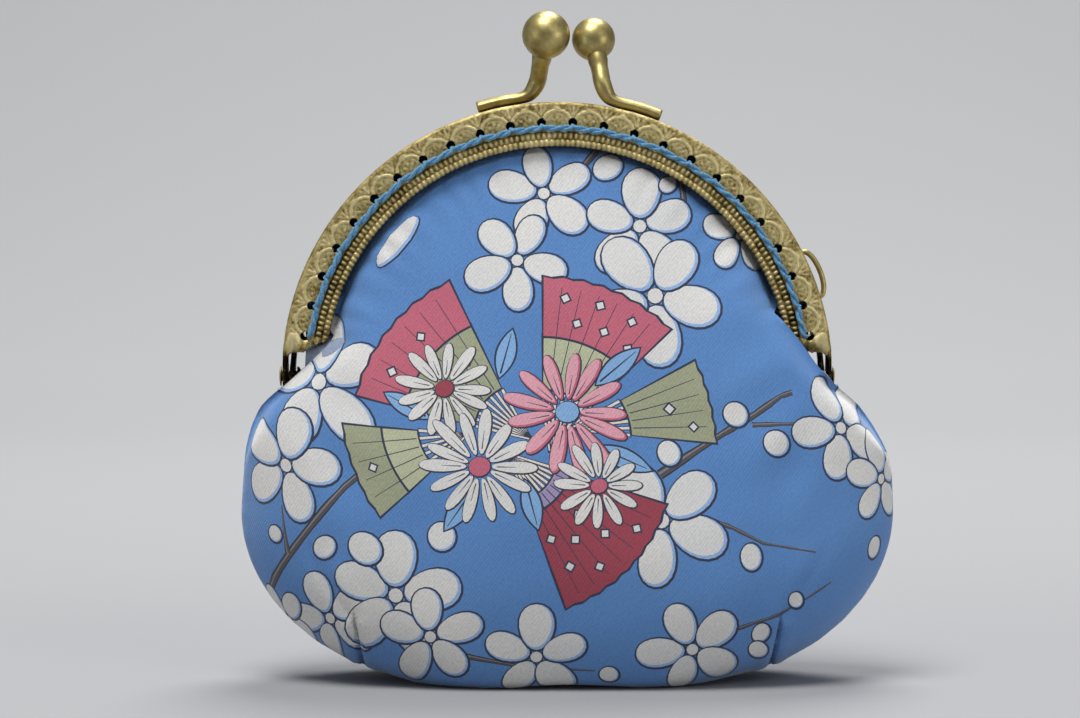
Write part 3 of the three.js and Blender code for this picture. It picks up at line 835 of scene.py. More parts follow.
def front_print():
    art = Print(FLAT_CLOTH, 11)
    art.branch([(-44.8, -35.1), (-41.8, -27.9), (-37.0, -21.9), (-32.8, -17.1), (-26.1, -11.1)], 1.4, 0.8)
    art.branch([(-41.8, -27.3), (-42.3, -24.0), (-42.7, -20.0)], 0.9)
    art.branch([(-44.8, -35.1), (-42.5, -35.0), (-39.6, -35.3)], 1.1)
    upper_twig = ((16.0, -15.2), (21.0, -12.1), (25.9, -9.0), (30.9, -5.9), (34.6, -3.1), (36.5, -2.5))
    art.branch(upper_twig, 1.3, 0.6)
    art.branch([(30.3, -7.5), (34.5, -7.7), (39.6, -7.5)], 0.9)
    art.branch([(24.0, -22.4), (27.2, -23.6), (32.1, -26.1), (40.2, -27.5)], 0.8)
    art.branch([(19.0, -42.5), (27.2, -39.4), (34.6, -37.0), (42.7, -32.0)], 0.8)
    art.branch([(3.0, 31.0), (4.6, 33.0), (6.4, 35.3)], 1.3, 0.9)
    art.branch([(19.7, 26.5), (19.4, 30.0)], 1.1, 0.9)
    art.branch([(-14.0, -43.5), (-4.0, -45.5), (6.0, -46.0)], 0.8)
    for x, rise, radius, turn in (
        (-2.1, 28.5, 8.2, 100), (-6.1, 17.9, 8.2, 60), (12.9, 23.4, 9.0, 85),
        (15.2, 12.4, 10.6, 55), (28.6, 21.9, 6.4, 20), (-37.1, -0.9, 11.0, 25),
        (-41.8, -13.8, 9.2, 70), (-35.2, -37.5, 8.0, 110), (-25.2, -34.2, 10.0, 85),
        (-19.6, -40.5, 8.0, 20), (16.3, -22.4, 10.2, 45), (43.9, -8.1, 8.2, 110),
        (50.2, -16.1, 7.4, 95), (-3.3, -43.8, 8.2, 90), (21.0, -42.5, 8.2, 40),
        (-43.5, -40.0, 6.2, 45),
    ):
        art.blossom(x, rise, radius, turn)
    art.inked(art.place(-24.7, 20.8), 5.2, 1.5, math.radians(52), WHITE, PALE)
    for x, rise, radius in (
        (7.9, 32.3, 2.1), (17.2, 29.7, 1.4), (27.8, -5.9, 2.0), (34.0, -10.6, 2.1),
        (17.5, -11.8, 1.9), (30.0, -28.3, 1.8), (-36.1, -26.4, 1.8), (-29.8, -26.9, 2.5),
        (-18.0, -24.9, 2.3), (-43.9, -24.4, 1.4), (37.1, -34.6, 1.3), (31.5, -39.8, 1.5),
        (31.2, -42.5, 1.5), (49.5, -26.7, 1.6), (8.0, -46.6, 1.6),
    ):
        art.bud(x, rise, radius, art.chance.uniform(1.0, 1.25))
    art.fan(-1.0, -12.0, 27.0, 44, 90, 7, ((0.36, 0.66, SAGE_LIGHT), (0.66, 1.0, PINK)), (
        (0.76, 0.15, 0.8), (0.9, 0.26, 0.75), (0.77, 0.42, 0.75), (0.9, 0.54, 0.8),
        (0.76, 0.68, 0.75), (0.89, 0.82, 0.8),
    ))
    art.fan(-4.0, -10.0, 27.0, 116, 166, 7, ((0.32, 0.72, SAGE), (0.72, 1.0, PINK)), (
        (0.56, 0.22, 0.8), (0.84, 0.4, 0.75), (0.86, 0.75, 0.8),
    ))
    art.fan(-8.0, -12.0, 25.0, -70, -18, 8, ((0.3, 0.4, LILAC), (0.4, 1.0, CRIMSON)), (
        (0.58, 0.12, 0.75), (0.78, 0.16, 0.8), (0.66, 0.34, 0.8), (0.88, 0.36, 0.75),
        (0.56, 0.55, 0.75), (0.76, 0.58, 0.8), (0.9, 0.76, 0.75), (0.68, 0.82, 0.8),
    ))
    art.fan(2.0, -8.0, 22.0, -6, 28, 5, ((0.42, 1.0, SAGE),), ((0.72, 0.5, 0.85), (0.86, 0.2, 0.7)))
    art.fan(-14.0, -9.0, 19.0, 176, 222, 5, ((0.4, 0.7, SAGE_LIGHT), (0.7, 1.0, SAGE)), ((0.85, 0.5, 0.7),))
    for x, rise, length, width, turn in (
        (-15.0, -20.5, 9.0, 3.2, 235), (10.5, -13.0, 9.0, 3.2, -25), (9.5, 1.5, 9.0, 3.2, 40),
        (-8.0, 3.5, 8.0, 3.0, 75), (-4.0, -20.0, 8.0, 3.0, 285), (-23.5, -4.5, 8.0, 3.0, 150),
    ):
        art.leaf(x, rise, length, width, turn, LEAF, INK)
    art.chrysanthemum(-17.5, -2.0, 7.6, 13, WHITE, CREAM, CRIMSON)
    art.chrysanthemum(-12.0, -14.0, 9.0, 14, WHITE, CREAM, PINK)
    art.chrysanthemum(1.5, -5.5, 9.6, 13, ROSE, PINK, LEAF)
    art.chrysanthemum(6.5, -17.0, 6.8, 12, WHITE, CREAM, PINK)
    return art


def rear_print():
    art = Print(FLAT_CLOTH, 23)
    art.branch([(-44.0, -12.0), (-33.0, -16.5), (-20.0, -15.0), (-8.0, -6.0), (2.0, 2.0)], 1.5, 0.6)
    art.branch([(-20.0, -15.0), (-10.0, -25.0), (4.0, -31.0)], 1.0)
    art.branch([(40.0, -38.0), (30.0, -28.0), (22.0, -14.0), (24.0, -2.0)], 1.4, 0.6)
    art.branch([(22.0, -14.0), (12.0, -16.0)], 0.8)
    art.branch([(-14.0, 30.0), (-6.0, 22.0), (-4.0, 15.0)], 1.1)
    for x, rise, radius, turn in (
        (3.0, 5.5, 9.0, 80), (-12.0, 14.0, 8.0, 30), (14.0, 20.0, 8.6, 50), (-4.0, 28.0, 7.2, 95),
        (25.0, 3.0, 8.4, 10), (-26.0, -2.0, 8.6, 65), (-40.0, -10.0, 8.0, 20),
        (-17.0, -25.5, 8.8, 100), (4.0, -32.0, 8.4, 45), (10.0, -14.5, 7.6, 75),
        (36.0, -14.0, 8.8, 85), (27.0, -33.0, 8.8, 30), (-37.0, -31.0, 8.6, 55),
        (46.0, -29.0, 7.0, 15), (-12.0, -43.0, 7.6, 70), (12.0, -43.5, 7.4, 20),
        (-26.0, 17.0, 6.4, 40), (-28.5, -43.0, 6.4, 10),
    ):
        art.blossom(x, rise, radius, turn)
    for x, rise, radius in (
        (-33.0, -18.0, 2.0), (-8.0, -17.0, 2.1), (-1.0, -20.0, 1.7), (17.0, -22.0, 2.2),
        (19.0, -5.0, 1.8), (31.0, -23.0, 1.9), (-6.0, 20.0, 1.7), (25.0, 14.0, 2.0),
        (40.0, -24.0, 1.7), (-27.0, -15.0, 1.6), (3.0, 15.0, 1.6), (-22.0, 8.0, 1.8),
    ):
        art.bud(x, rise, radius, art.chance.uniform(1.0, 1.25))
    return art


# Folds and seams of the cloth


# Start, end, width and height of the creases beside a hinge, seen on the right
SIDE_CREASES = (
    ((39.0, -3.0), (23.0, -17.0), 3.2, 0.35),
    ((42.0, -6.5), (33.0, -26.0), 3.2, 0.4),
    ((34.0, 3.0), (20.0, -6.0), 3.0, 0.22),
)


def side_creases(x, rise):
    """Soft creases that run inwards and down from the hinge, each with a hollow beside it."""
    relief = np.zeros_like(x)
    for start, end, width, height in SIDE_CREASES:
        distance, along = segment_distance(x, rise, start, end)
        hollow = segment_distance(x + 3.4, rise - 2.2, start, end)[0]
        fade = np.sin(math.pi * np.clip(along + 0.14, 0, 1)) ** 0.8
        relief += height * (bell(distance, width) - 0.5 * bell(hollow, width)) * fade
    return relief


def base_dart(x, rise, free):
    """The groove of a dart between its plump sides, and the pull of the cloth beyond its point."""
    distance, along = segment_distance(x, rise, DART_FOOT, DART_TIP)
    dart = smooth(1.0 - along, 0.0, 0.2)
    relief = (0.22 * bell(distance - 1.4, 1.0) - 0.6 * bell(distance, 0.3)) * dart
    tip_x, tip_rise = DART_TIP
    crease, reach = segment_distance(x, rise, DART_TIP, (tip_x + 0.9, tip_rise + 10.0))
    relief -= 0.15 * bell(crease, 0.8) * (1 - reach) * (along > 0.9)
    pull, reach = segment_distance(x, rise, (tip_x + 1.0, tip_rise), (41.0, tip_rise + 12.0))
    return relief + (0.32 * bell(pull - 1.5, 2.0) - 0.25 * bell(pull, 1.4)) * (1 - reach) * free


def cloth_relief(points, edge_gap, seed, is_lining):
    """How far the cloth stands out of its smooth form, in millimetres."""
    x, depth, z = points.T
    rise = z - HINGE
    radius = np.hypot(x, rise)
    above = smooth(rise, 3.0, 8.0)
    if not is_lining:
        above = np.where(x > 0, smooth(rise, LAP_TOP - 0.5, LAP_TOP + 1.8), smooth(rise, 6.8, 9.6))
    free = smooth(edge_gap, 0.3, 5.0) * (1 - above * smooth(radius, CLOTH_WINDOW - 2.5, CLOTH_WINDOW))
    relief = 0.5 * soft_noise(x, z, 34.0, seed) * free
    relief += 0.13 * soft_noise(x, z, 12.0, seed + 1) * free
    below = smooth(-rise, 1.5, 5.0)
    relief -= 0.45 * bell(edge_gap, 0.5) * below
    relief += 0.035 * np.sin(math.tau * z / PUCKER_PITCH + seed) * bell(edge_gap - 1.2, 1.9) * below
    tucked = above * smooth(radius, CLOTH_WINDOW - 0.9, CLOTH_WINDOW - 0.1)
    relief -= 0.9 * tucked
    near_rim = above * bell(np.maximum(0.0, CLOTH_WINDOW - 1.5 - radius), 4.5) * (1 - tucked)
    around = np.arctan2(x, np.maximum(rise, 0.1)) / HOLE_PITCH
    relief += 0.13 * np.cos(math.tau * around + 0.8 * np.sin(around * 1.7)) * near_rim
    for side, strength in ((-1, 0.75), (1, 1.0)):
        relief += strength * free * side_creases(x * side, rise) + base_dart(x * side, rise, free)
    return relief * smooth(depth, 0.0, 0.6)


def surface_normals(place, flat, step):
    """Outward directions of a surface that place gives for flat points."""
    du = place(flat + [step, 0.0]) - place(flat - [step, 0.0])
    dv = place(flat + [0.0, step]) - place(flat - [0.0, step])
    normal = np.cross(dv, du)
    length = np.linalg.norm(normal, axis=1)[:, None]
    return normal / np.maximum(length, 1e-9)


def shaped_cloth(cloth, flat, seed, folds):
    """Points of the cloth with its folds and seams."""
    spots = cloth.at(flat)
    edge_gap = np.maximum(cloth.half(flat) - np.abs(flat[:, 0]), 0.0)
    relief = cloth_relief(spots, edge_gap, seed, cloth.inset > 0) * folds
    shaped = spots + surface_normals(cloth.at, flat, 0.3) * relief[:, None]
    shaped[:, 1] = np.maximum(shaped[:, 1], 0.02)
    shaped[:, 2] = np.maximum(shaped[:, 2], cloth.table[0, 0, 2])
    return shaped


def detail_points(cloth):
    """Close points on the flat cloth, just inside the rim of the frame and along the two darts."""
    points = []
    for gap in (0.9, 0.6, 0.4, 0.2, 0.0):
        for degrees in np.arange(-72.0, 72.1, 1.0):
            turn = math.radians(degrees)
            reach = CLOTH_WINDOW - gap
            points.append((reach * math.sin(turn), reach * math.cos(turn)))
    for side in (-1, 1):
        for share in np.linspace(0.0, 1.0, 26):
            x, rise = (blend(foot, tip, share) for foot, tip in zip(DART_FOOT, DART_TIP))
            points += [(side * x + step, rise) for step in (-0.9, -0.5, -0.25, 0.0, 0.25, 0.5, 0.9)]
    return [cloth.flat_of(cloth.level_view, x, rise) for x, rise in points]


def paint(obj, art, tops, spots):
    """Colours a printed panel, with painted shade in the darts and where it goes under the rim."""
    rise = spots[:, 2] - HINGE
    # Painted shade: darker where the cloth goes under the rim, and along the darts
    near = smooth(np.hypot(spots[:, 0], rise), CLOTH_WINDOW - 0.4, CLOTH_WINDOW - 0.1)
    near = near * smooth(rise, 12.0, 13.0) * 0.8
    dart = bell(segment_distance(np.abs(spots[:, 0]), rise, DART_FOOT, DART_TIP)[0], 0.2) * 0.6
    point_attribute(obj, "crevice_shade", np.maximum(near, dart))
    colours = np.array([art.colours[top] if top >= 0 else BLUE_GROUND for top in tops], np.float32)
    attribute = obj.data.attributes.new("print", "FLOAT_COLOR", "CORNER")
    attribute.data.foreach_set("color", np.repeat(colours, 3, axis=0).ravel())


def set_facing(obj, normals):
    """Shades both faces of a thickened sheet by the smooth form, so that its triangles don't show."""
    count = len(normals)
    facing = np.zeros(len(obj.data.vertices) * 3, np.float32)
    obj.data.vertex_normals.foreach_get("vector", facing)
    facing = facing.reshape(-1, 3)
    if np.sum(facing[:count] * normals) < 0:
        normals = -normals
    facing[:count] = normals
    facing[count : 2 * count] = -normals
    obj.data.normals_split_custom_set_from_vertices(facing.tolist())


def cloth_panel(name, node, art, side, seed):
    """One sewn panel. side is -1 for the front of the purse and 1 for its back. A lining has no art."""
    if art:
        cloth, material, thickness, spacing, folds = FLAT_CLOTH, PRINTED, OUTER_THICKNESS, 0.8, 1.0
    else:
        cloth, material, thickness, spacing, folds = FLAT_LINING, LINING, LINING_THICKNESS, 1.3, 0.8
    outline = cloth.outline(0.9)
    points = detail_points(cloth) if art else []
    low, high = (-cloth.left.max(), cloth.v[0]), (cloth.right.max(), cloth.v[-1])
    grid = np.array(grid_points(low, high, spacing, spacing * 0.9))
    inside = np.abs(grid[:, 0]) < cloth.half(grid) - 0.35
    inside &= (grid[:, 1] > cloth.v[0] + 0.3) & (grid[:, 1] < cloth.v[-1] - 0.3)
    points += grid[inside].tolist()
    shapes = art.shapes if art else []
    flat, triangles, tops = triangulate(points, outline, [], shapes)
    world = shaped_cloth(cloth, flat, seed, folds)
    normals = surface_normals(lambda place: shaped_cloth(cloth, place, seed, folds), flat, 0.12)
    world[:, 1] *= side
    normals[:, 1] *= side
    world[:, 0] += belly_shift(world[:, 2])
    obj = make_mesh(name, world, triangles, material)
    outward = sum(face.normal.y * face.area for face in obj.data.polygons)
    if outward * side < 0:
        obj.data.flip_normals()
    loops = np.empty(len(obj.data.loops), np.int32)
    obj.data.loops.foreach_get("vertex_index", loops)
    layer = obj.data.uv_layers.new(name="cloth_mm")
    layer.data.foreach_set("uv", flat[loops].astype(np.float32).ravel())
    if art:
        paint(obj, art, tops, cloth.at(flat))
    thicken(obj, thickness, LINING, bool(art))
    set_facing(obj, normals)
    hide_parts(node)
    if side > 0:
        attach(obj, ROOT)
    else:
        low = (0, 0, (HINGE - 26) * MM)
        high = (0, 0, (HINGE + 24) * MM)
        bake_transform(obj)
        spots = np.empty(len(obj.data.vertices) * 3)
        obj.data.vertices.foreach_get("co", spots)
    return obj


# Stamped brass halves of the frame


def stamped_section():
    """Section of a half from the back edge of its flange to the inner edge of its rim.

    Gives, for each length along the sheet, the radius, the depth and the outward direction.
    """
    lengths, spots, outward = [0.0], [(ARCH_RADIUS, FLANGE_START)], [(1.0, 0.0)]

    def on(radius, depth, direction):
        lengths.append(lengths[-1] + math.hypot(radius - spots[-1][0], depth - spots[-1][1]))
        spots.append((radius, depth))
        outward.append(direction)

    on(ARCH_RADIUS, FLANGE_FRONT - CORNER, (1.0, 0.0))
    for k in range(1, 7):
        angle = k / 6 * math.pi / 2
        c, s = math.cos(angle), math.sin(angle)
        on(ARCH_RADIUS - CORNER + CORNER * c, FLANGE_FRONT - CORNER + CORNER * s, (c, s))
    on(RIM_INNER + 0.3, FLANGE_FRONT, (0.0, 1.0))
    for k in range(1, 5):
        angle = math.pi / 2 + k / 4 * math.pi / 2
        c, s = math.cos(angle), math.sin(angle)
        on(RIM_INNER + 0.3 + 0.3 * c, FLANGE_FRONT - 0.3 + 0.3 * s, (c, s))
    on(RIM_INNER, FLANGE_FRONT - 0.75, (-1.0, 0.0))
    return np.array(lengths), np.array(spots), np.array(outward)


SECTION = stamped_section()
FACE_START = 7


def sheet_place(length):
    lengths, spots, outward = SECTION
    radius = np.interp(length, lengths, spots[:, 0])
    depth = np.interp(length, lengths, spots[:, 1]) + np.minimum(length, 0.0)
    across = np.interp(length, lengths, outward[:, 0])
    forward = np.interp(length, lengths, outward[:, 1])
    return radius, depth, across, forward


def length_at_radius(radius):
    """Length along the sheet at a radius on the face plate."""
    lengths, spots, _ = SECTION
    return lengths[FACE_START] + (spots[FACE_START][0] - radius)


def hole_angle(k):
    return HOLE_PITCH * (k - (HOLE_COUNT - 1) / 2)


def face_ornament(angle, radius):
    """Height of the scallops, rays and buds of the face plate, and of its tooled ground."""
    pitch = angle / HOLE_PITCH
    local = (pitch - np.round(pitch)) * HOLE_PITCH * radius
    at_hole = (pitch - 0.5 - np.round(pitch - 0.5)) * HOLE_PITCH * radius
    base = HOLE_CIRCLE + 0.1
    reach = np.hypot(local / 2.1, (radius - base) / 1.7)
    around = np.arctan2(local, radius - base + 0.25)
    height = 0.16 * bell((reach - 1) * 1.9, 0.2) + 0.06 * bell((reach - 0.68) * 1.9, 0.12)
    height += 0.1 * np.maximum(0.0, np.cos(7.0 * around)) * bell(reach - 0.38, 0.2)
    height *= smooth(radius, base - 0.3, base)
    along = radius - base - 0.9
    edge = smooth(along, 0.0, 0.2) * (1 - smooth(radius, RAY_END, RAY_END + 0.3))
    for lean, strength in ((-0.6, 0.1), (0.0, 0.14), (0.6, 0.1)):
        height += strength * bell(at_hole - lean * along, 0.13) * edge
    bud = np.hypot(local / 0.7, (radius - BUD_CIRCLE) / 0.28)
    height += 0.1 * np.maximum(0.0, 1 - bud**2)
    tooled = np.sin(angle * 230.0 + 2.0 * np.sin(radius * 9.0))
    tooled *= np.sin(radius * 12.0 + 1.5 * np.sin(angle * 61.0))
    return height + 0.035 * tooled


def beaded_rim(angle, inner_share):
    """Height of the two rows of beads on the rim, and how far their tops are rubbed."""
    height = np.zeros_like(angle)
    gloss = np.zeros_like(angle)
    for centre, reach, shift, depth in ((0.27, 0.27, 0.0, 0.42), (0.76, 0.24, 0.5, 0.26)):
        tube = np.sqrt(1 - np.clip(np.abs(inner_share - centre) / reach, 0, 1) ** 2)
        bead = np.abs(np.sin(math.pi * (angle * BEAD_CIRCLE / BEAD_PITCH + shift))) ** 1.6
        height = np.maximum(height, tube * (0.56 - depth + depth * bead))
        gloss = np.maximum(gloss, tube**0.8 * blend(1 - 1.6 * depth, 1.0, bead))
    return height, gloss


def stamped_relief(angle, radius, length):
    """Height of the stamped ornament above the sheet, and how bright each spot is: real wear, with painted
    shade on the rim's sides and at the lugs.
    """
    end = SECTION[0][-1]
    face = smooth(radius, RIM_OUTER + 0.1, RIM_OUTER + 0.4) * smooth(length, 5.0, 5.6)
    inner_share = (RIM_OUTER - radius) / (RIM_OUTER - RIM_INNER)
    on_rim = (inner_share > 0) & (length < end - 0.4)
    rim, gloss = beaded_rim(angle, inner_share)
    height = np.where(on_rim, rim, face_ornament(angle, radius) * face)
    # Painted shade: the rim darkens towards its sides, away from its lit top; the bright bead tops are wear
    rubbed = 0.66 * gloss - 0.09 - 0.3 * (1 - np.cos(angle))
    wear_and_shade = np.where(on_rim, rubbed, 0.29 + 3.4 * height)
    wear_and_shade = np.where((length < 4.3) | (length > end - 0.5), 0.22, wear_and_shade)
    # Painted shade: the lugs are darkened where shadow falls about the hinge
    at_lug = 1 - smooth(radius * np.cos(angle), 2.6, 4.2)
    return height, wear_and_shade - 0.42 * at_lug


def lug_edge():
    """Edge of a hinge lug as (depth towards the front, height above the hinge)."""
    start, control, end = (FLANGE_FRONT - CORNER, FACE_END + 0.5), (2.6, FACE_END - 1), (LUG_RADIUS, 0.0)
    points = [curve_point(start, control, end, k / 8) for k in range(9)]
    for k in range(1, 19):
        angle = -k / 18 * math.radians(225)
        points.append((LUG_RADIUS * math.cos(angle), LUG_RADIUS * math.sin(angle)))
    start, control, end = points[-1], (FLANGE_START, LUG_RADIUS), (FLANGE_START, FACE_END + 1)
    return points + [curve_point(start, control, end, k / 6) for k in range(1, 7)]


def face_end_angle(radius):
    """Where the face plate ends, at a radius: level at the outside, scooped at the inside."""
    bite = 8.0
    centre = (ARCH_RADIUS - SHEET - bite, -2.0)
    for angle in np.linspace(math.radians(70), math.radians(90), 400):
        x, rise = radius * math.sin(angle), radius * math.cos(angle)
        if rise < FACE_END or math.hypot(x - centre[0], rise - centre[1]) < bite:
            return angle
    return math.radians(90)


def flat_frame():
    """A half of the frame worked flat: its edge, its holes, and the reach of its rim and of its lugs."""
    end = SECTION[0][-1]
    right = []
    for radius in np.linspace(RIM_INNER + 0.3, ARCH_RADIUS - CORNER, 26):
        right.append((face_end_angle(radius) * ARCH_RADIUS, float(length_at_radius(radius))))
    right.insert(0, (right[0][0], end))
    for depth, rise in lug_edge():
        right.append((math.acos(rise / ARCH_RADIUS) * ARCH_RADIUS, depth - FLANGE_START))
    inner_limit, limit = right[0][0], right[-1][0]
    bottom = [(a, 0.0) for a in np.linspace(limit, -limit, 260)[1:-1]]
    left = [(-a, s) for a, s in right[::-1]]
    top = [(a, end) for a in np.linspace(-inner_limit, inner_limit, 700)[1:-1]]
    holes = []
    for k in range(HOLE_COUNT):
        angle = hole_angle(k)
        ring = []
        for t in np.arange(20) * math.tau / 20:
            across = angle + HOLE_RADIUS * math.cos(t) / HOLE_CIRCLE
            length = float(length_at_radius(HOLE_CIRCLE + HOLE_RADIUS * math.sin(t)))
            ring.append((across * ARCH_RADIUS, length))
        holes.append(ring)
    for turn in (-1, 1):
        eye = []
        for t in np.arange(16) * math.tau / 16:
            across = math.pi / 2 * ARCH_RADIUS + EYE_RADIUS * math.sin(t)
            eye.append((turn * across, EYE_RADIUS * math.cos(t) - FLANGE_START))
        holes.append(eye)
    return right + bottom + left + top, holes, inner_limit, limit


def stamped_half(name, node, side, body):
    """One half of the frame, worked flat as (arc, length along the sheet) and then bent round."""
    outline, holes, inner_limit, limit = flat_frame()
    end = SECTION[0][-1]
    points = grid_points((-limit + 0.5, 0.45), (limit - 0.5, 3.6), 0.8, 0.7)
    face_limit = inner_limit - 0.3
    rim_start = float(length_at_radius(RIM_OUTER + 0.1))
    points += grid_points((-face_limit, 3.9), (face_limit, rim_start - 0.1), 0.18, 0.17)
    points += grid_points((-face_limit, rim_start), (face_limit, end - 0.1), 0.18, 0.15)
    flat, triangles, _ = triangulate(points, outline, holes, [])
    arc, length = flat.T
    angle = arc / ARCH_RADIUS
    radius, depth, across, forward = sheet_place(length)
    height, wear_and_shade = stamped_relief(angle, radius, length)
    rise = radius * np.cos(angle)
    if side > 0:
        joggle = smooth(-rise, -9.5, -5.0) * (1 - smooth(length, 3.4, 4.9) * smooth(rise, 3.5, 4.5))
        radius = radius - REAR_LUG_INSET * joggle
    radius = radius + across * height
    depth = depth + forward * height
    world = np.stack([radius * np.sin(angle), side * depth, radius * np.cos(angle) + HINGE], axis=1)
    obj = make_mesh(name, world, triangles, BRASS_RELIEF)
    top_face = max(obj.data.polygons, key=lambda face: face.center.z)
    if top_face.normal.z < 0:
        obj.data.flip_normals()
    # The relief attribute holds wear and painted shade, not heights
    point_attribute(obj, "relief", wear_and_shade)
    # The inner side gets the darker brass copy, as painted shade inside the frame
    thicken(obj, SHEET - 0.05, BRASS_SHADED, False)
    stand_for(obj, node, body)


# Clasp arms, balls, rivets, chain loop and stitching


def arch_point(radius, degrees, y):
    angle = math.radians(degrees)
    return (radius * math.sin(angle), y, radius * math.cos(angle) + HINGE)


def node_middle(node):
    low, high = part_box(node)
    return np.array([(a + b) / 2 / MM for a, b in zip(low, high)]), (high[0] - low[0]) / 2 / MM


def clasp_arm(name, node, ball_node, side, turn, elbow_degrees, body):
    """A bent wire from the arch to its ball. turn is 1 where its foot runs to the right, else -1."""
    ball, ball_radius = node_middle(ball_node)
    stem_radius, foot_half = 1.35, 0.9
    foot_y = side * FLANGE_MIDDLE
    seat = ARCH_RADIUS + foot_half + 0.04
    points = [arch_point(seat, turn * (elbow_degrees + past), foot_y) for past in (11.0, 8.0, 5.0, 2.0)]
    points.append(arch_point(seat + 0.55, turn * (elbow_degrees - 0.15), foot_y))
    bend_end = np.array(arch_point(seat + 2.3, turn * (elbow_degrees - 1.75), foot_y))
    stem = ball - bend_end
    reach = 1 - 0.8 * ball_radius / np.linalg.norm(stem)
    points += [tuple(bend_end + stem * share * reach) for share in (0.0, 0.5, 1.0)]
    share = np.linspace(0, 1, 96)
    rise = blend(foot_half, stem_radius, smooth(share, 0.4, 0.72))
    rounded = np.sqrt(1 - np.clip(1 - share / 0.012, 0, 1) ** 2 * 0.3)
    flare = 1 + 0.14 * smooth(share, 0.86, 0.95)
    path = spline(points, len(share))
    obj = sweep(name, path, rise * flare * rounded, 24, BRASS_PLAIN, stem_radius * flare * rounded)
    stand_for(obj, node, body)


def clasp_ball(name, node, body):
    middle, radius = node_middle(node)
    profile = []
    for k in range(33):
        angle = math.pi * (k + 0.15) / 32.3
        profile.append((radius * math.sin(angle), -radius * math.cos(angle)))
    turn = Vector((0, 0, 1)).rotation_difference(Vector((0.15, 0.25, 0.9))).to_matrix()
    obj = lathe(name, profile, middle, turn, 48, BRASS_PLAIN)
    stand_for(obj, node, body)


def hinge_rivet(name, node, turn):
    low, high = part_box(node)
    inner = min(abs(low[0]), abs(high[0])) / MM
    outer = max(abs(low[0]), abs(high[0])) / MM
    base = outer - 0.7
    profile = [(0.05, inner), (1.1, inner + 0.06), (1.45, inner + 0.3), (RIVET_HEAD, inner + 0.55)]
    profile += [(RIVET_SHAFT, inner + 0.6), (RIVET_SHAFT, base)]
    profile += [(RIVET_HEAD, base), (RIVET_HEAD + 0.05, base + 0.08)]
    for k in range(1, 7):
        angle = k / 7 * math.pi / 2
        profile.append((RIVET_HEAD * math.cos(angle) + 0.03, base + 0.08 + 0.22 * math.sin(angle)))
    profile.append((0.03, base + 0.305))
    axis = Vector((0, 0, 1)).rotation_difference(Vector((turn, 0, 0))).to_matrix()
    obj = lathe(name, profile, (0, 0, HINGE), axis, 28, BRASS_PLAIN)
    stand_for(obj, node, ROOT)


def chain_loop():
    middle_degrees, span_degrees, reach = 68.4, 10.0, 1.45
    points = []
    for share in np.linspace(-0.08, 1.08, 13):
        turn = math.pi * share
        degrees = middle_degrees - span_degrees / 2 * math.cos(turn)
        stand = 0.1 + reach * abs(math.sin(turn)) ** 0.8
        points.append(arch_point(ARCH_RADIUS + stand, degrees, FLANGE_MIDDLE))
    obj = sweep("chain_loop_wire", spline(points, 60), np.full(60, LOOP_WIRE), 16, BRASS_PLAIN)
    stand_for(obj, "chain_loop", ROOT)


def stitching(name, node, side, body):
    """Two-ply thread: each stitch comes out of one hole and goes down the next."""
    strands = []
    steps = 34
    radii = np.full(steps, THREAD_RADIUS)
    face = FLANGE_FRONT + 0.12
    pitch = math.degrees(HOLE_PITCH)
    for k in range(HOLE_COUNT - 1):
        first = math.degrees(hole_angle(k))
        points = []
        for share, radius, depth in (
            (-0.01, HOLE_CIRCLE - 0.55, 4.5),
            (0.03, HOLE_CIRCLE - 0.68, face + 0.1),
            (0.12, HOLE_CIRCLE - 0.85, face + 0.38),
            (0.35, RIM_OUTER + 0.56, face + 0.42),
            (0.5, RIM_OUTER + 0.54, face + 0.42),
            (0.65, RIM_OUTER + 0.56, face + 0.42),
            (0.88, HOLE_CIRCLE - 0.85, face + 0.38),
            (0.97, HOLE_CIRCLE - 0.68, face + 0.1),
            (1.01, HOLE_CIRCLE - 0.55, 4.5),
        ):
            points.append(arch_point(radius, first + share * pitch, side * depth))
        path = spline(points, steps)
        tangents = unit(np.gradient(path, axis=0))
        sideways = unit(np.cross(tangents, (0.0, side, 0.0)))
        normal = np.cross(sideways, tangents)
        twist = np.linspace(0, math.tau * 1.5, steps)
        apart = (THREAD_APART * np.sin(math.pi * np.linspace(0.1, 0.9, steps)) ** 0.5)[:, None]
        for ply in (0, 1):
            angle = twist + ply * math.pi
            offset = sideways * np.cos(angle)[:, None] + normal * np.sin(angle)[:, None]
            strands.append(sweep(f"{name}_{k}_{ply}", path + offset * apart, radii, 8, THREAD))
    obj = join(strands, name)
    stand_for(obj, node, body)


# Build the pieces

cloth_panel("front_cloth", "outer_front_panel", front_print(), -1, FRONT_FOLDS)
cloth_panel("rear_cloth", "outer_rear_panel", rear_print(), 1, REAR_FOLDS)
cloth_panel("front_lining", "lining_front_panel", None, -1, FRONT_FOLDS)
cloth_panel("rear_lining", "lining_rear_panel", None, 1, REAR_FOLDS)
stamped_half("front_stamping", "front_frame", -1, FRONT)
stamped_half("rear_stamping", "rear_frame", 1, ROOT)
clasp_arm("front_arm", "front_clasp_arm", "front_clasp_ball", -1, 1, 10.6, FRONT)
clasp_arm("rear_arm", "rear_clasp_arm", "rear_clasp_ball", 1, -1, 5.6, ROOT)
clasp_ball("front_ball", "front_clasp_ball", FRONT)
clasp_ball("rear_ball", "rear_clasp_ball", ROOT)
hinge_rivet("left_rivet", "hinge_rivet_left", -1)
hinge_rivet("right_rivet", "hinge_rivet_right", 1)
chain_loop()
stitching("front_stitches", "front_stitch_thread", -1, FRONT)
stitching("rear_stitches", "rear_stitch_thread", 1, ROOT)


# Floor, backdrop, lights and camera

# Painted shade: the floor is darker than the wall, most of all in front of and under the purse
SHADED_FLOOR = linear(148, 148, 150)
WALL = linear(166, 166, 167)
ROOM = linear(34, 34, 37)


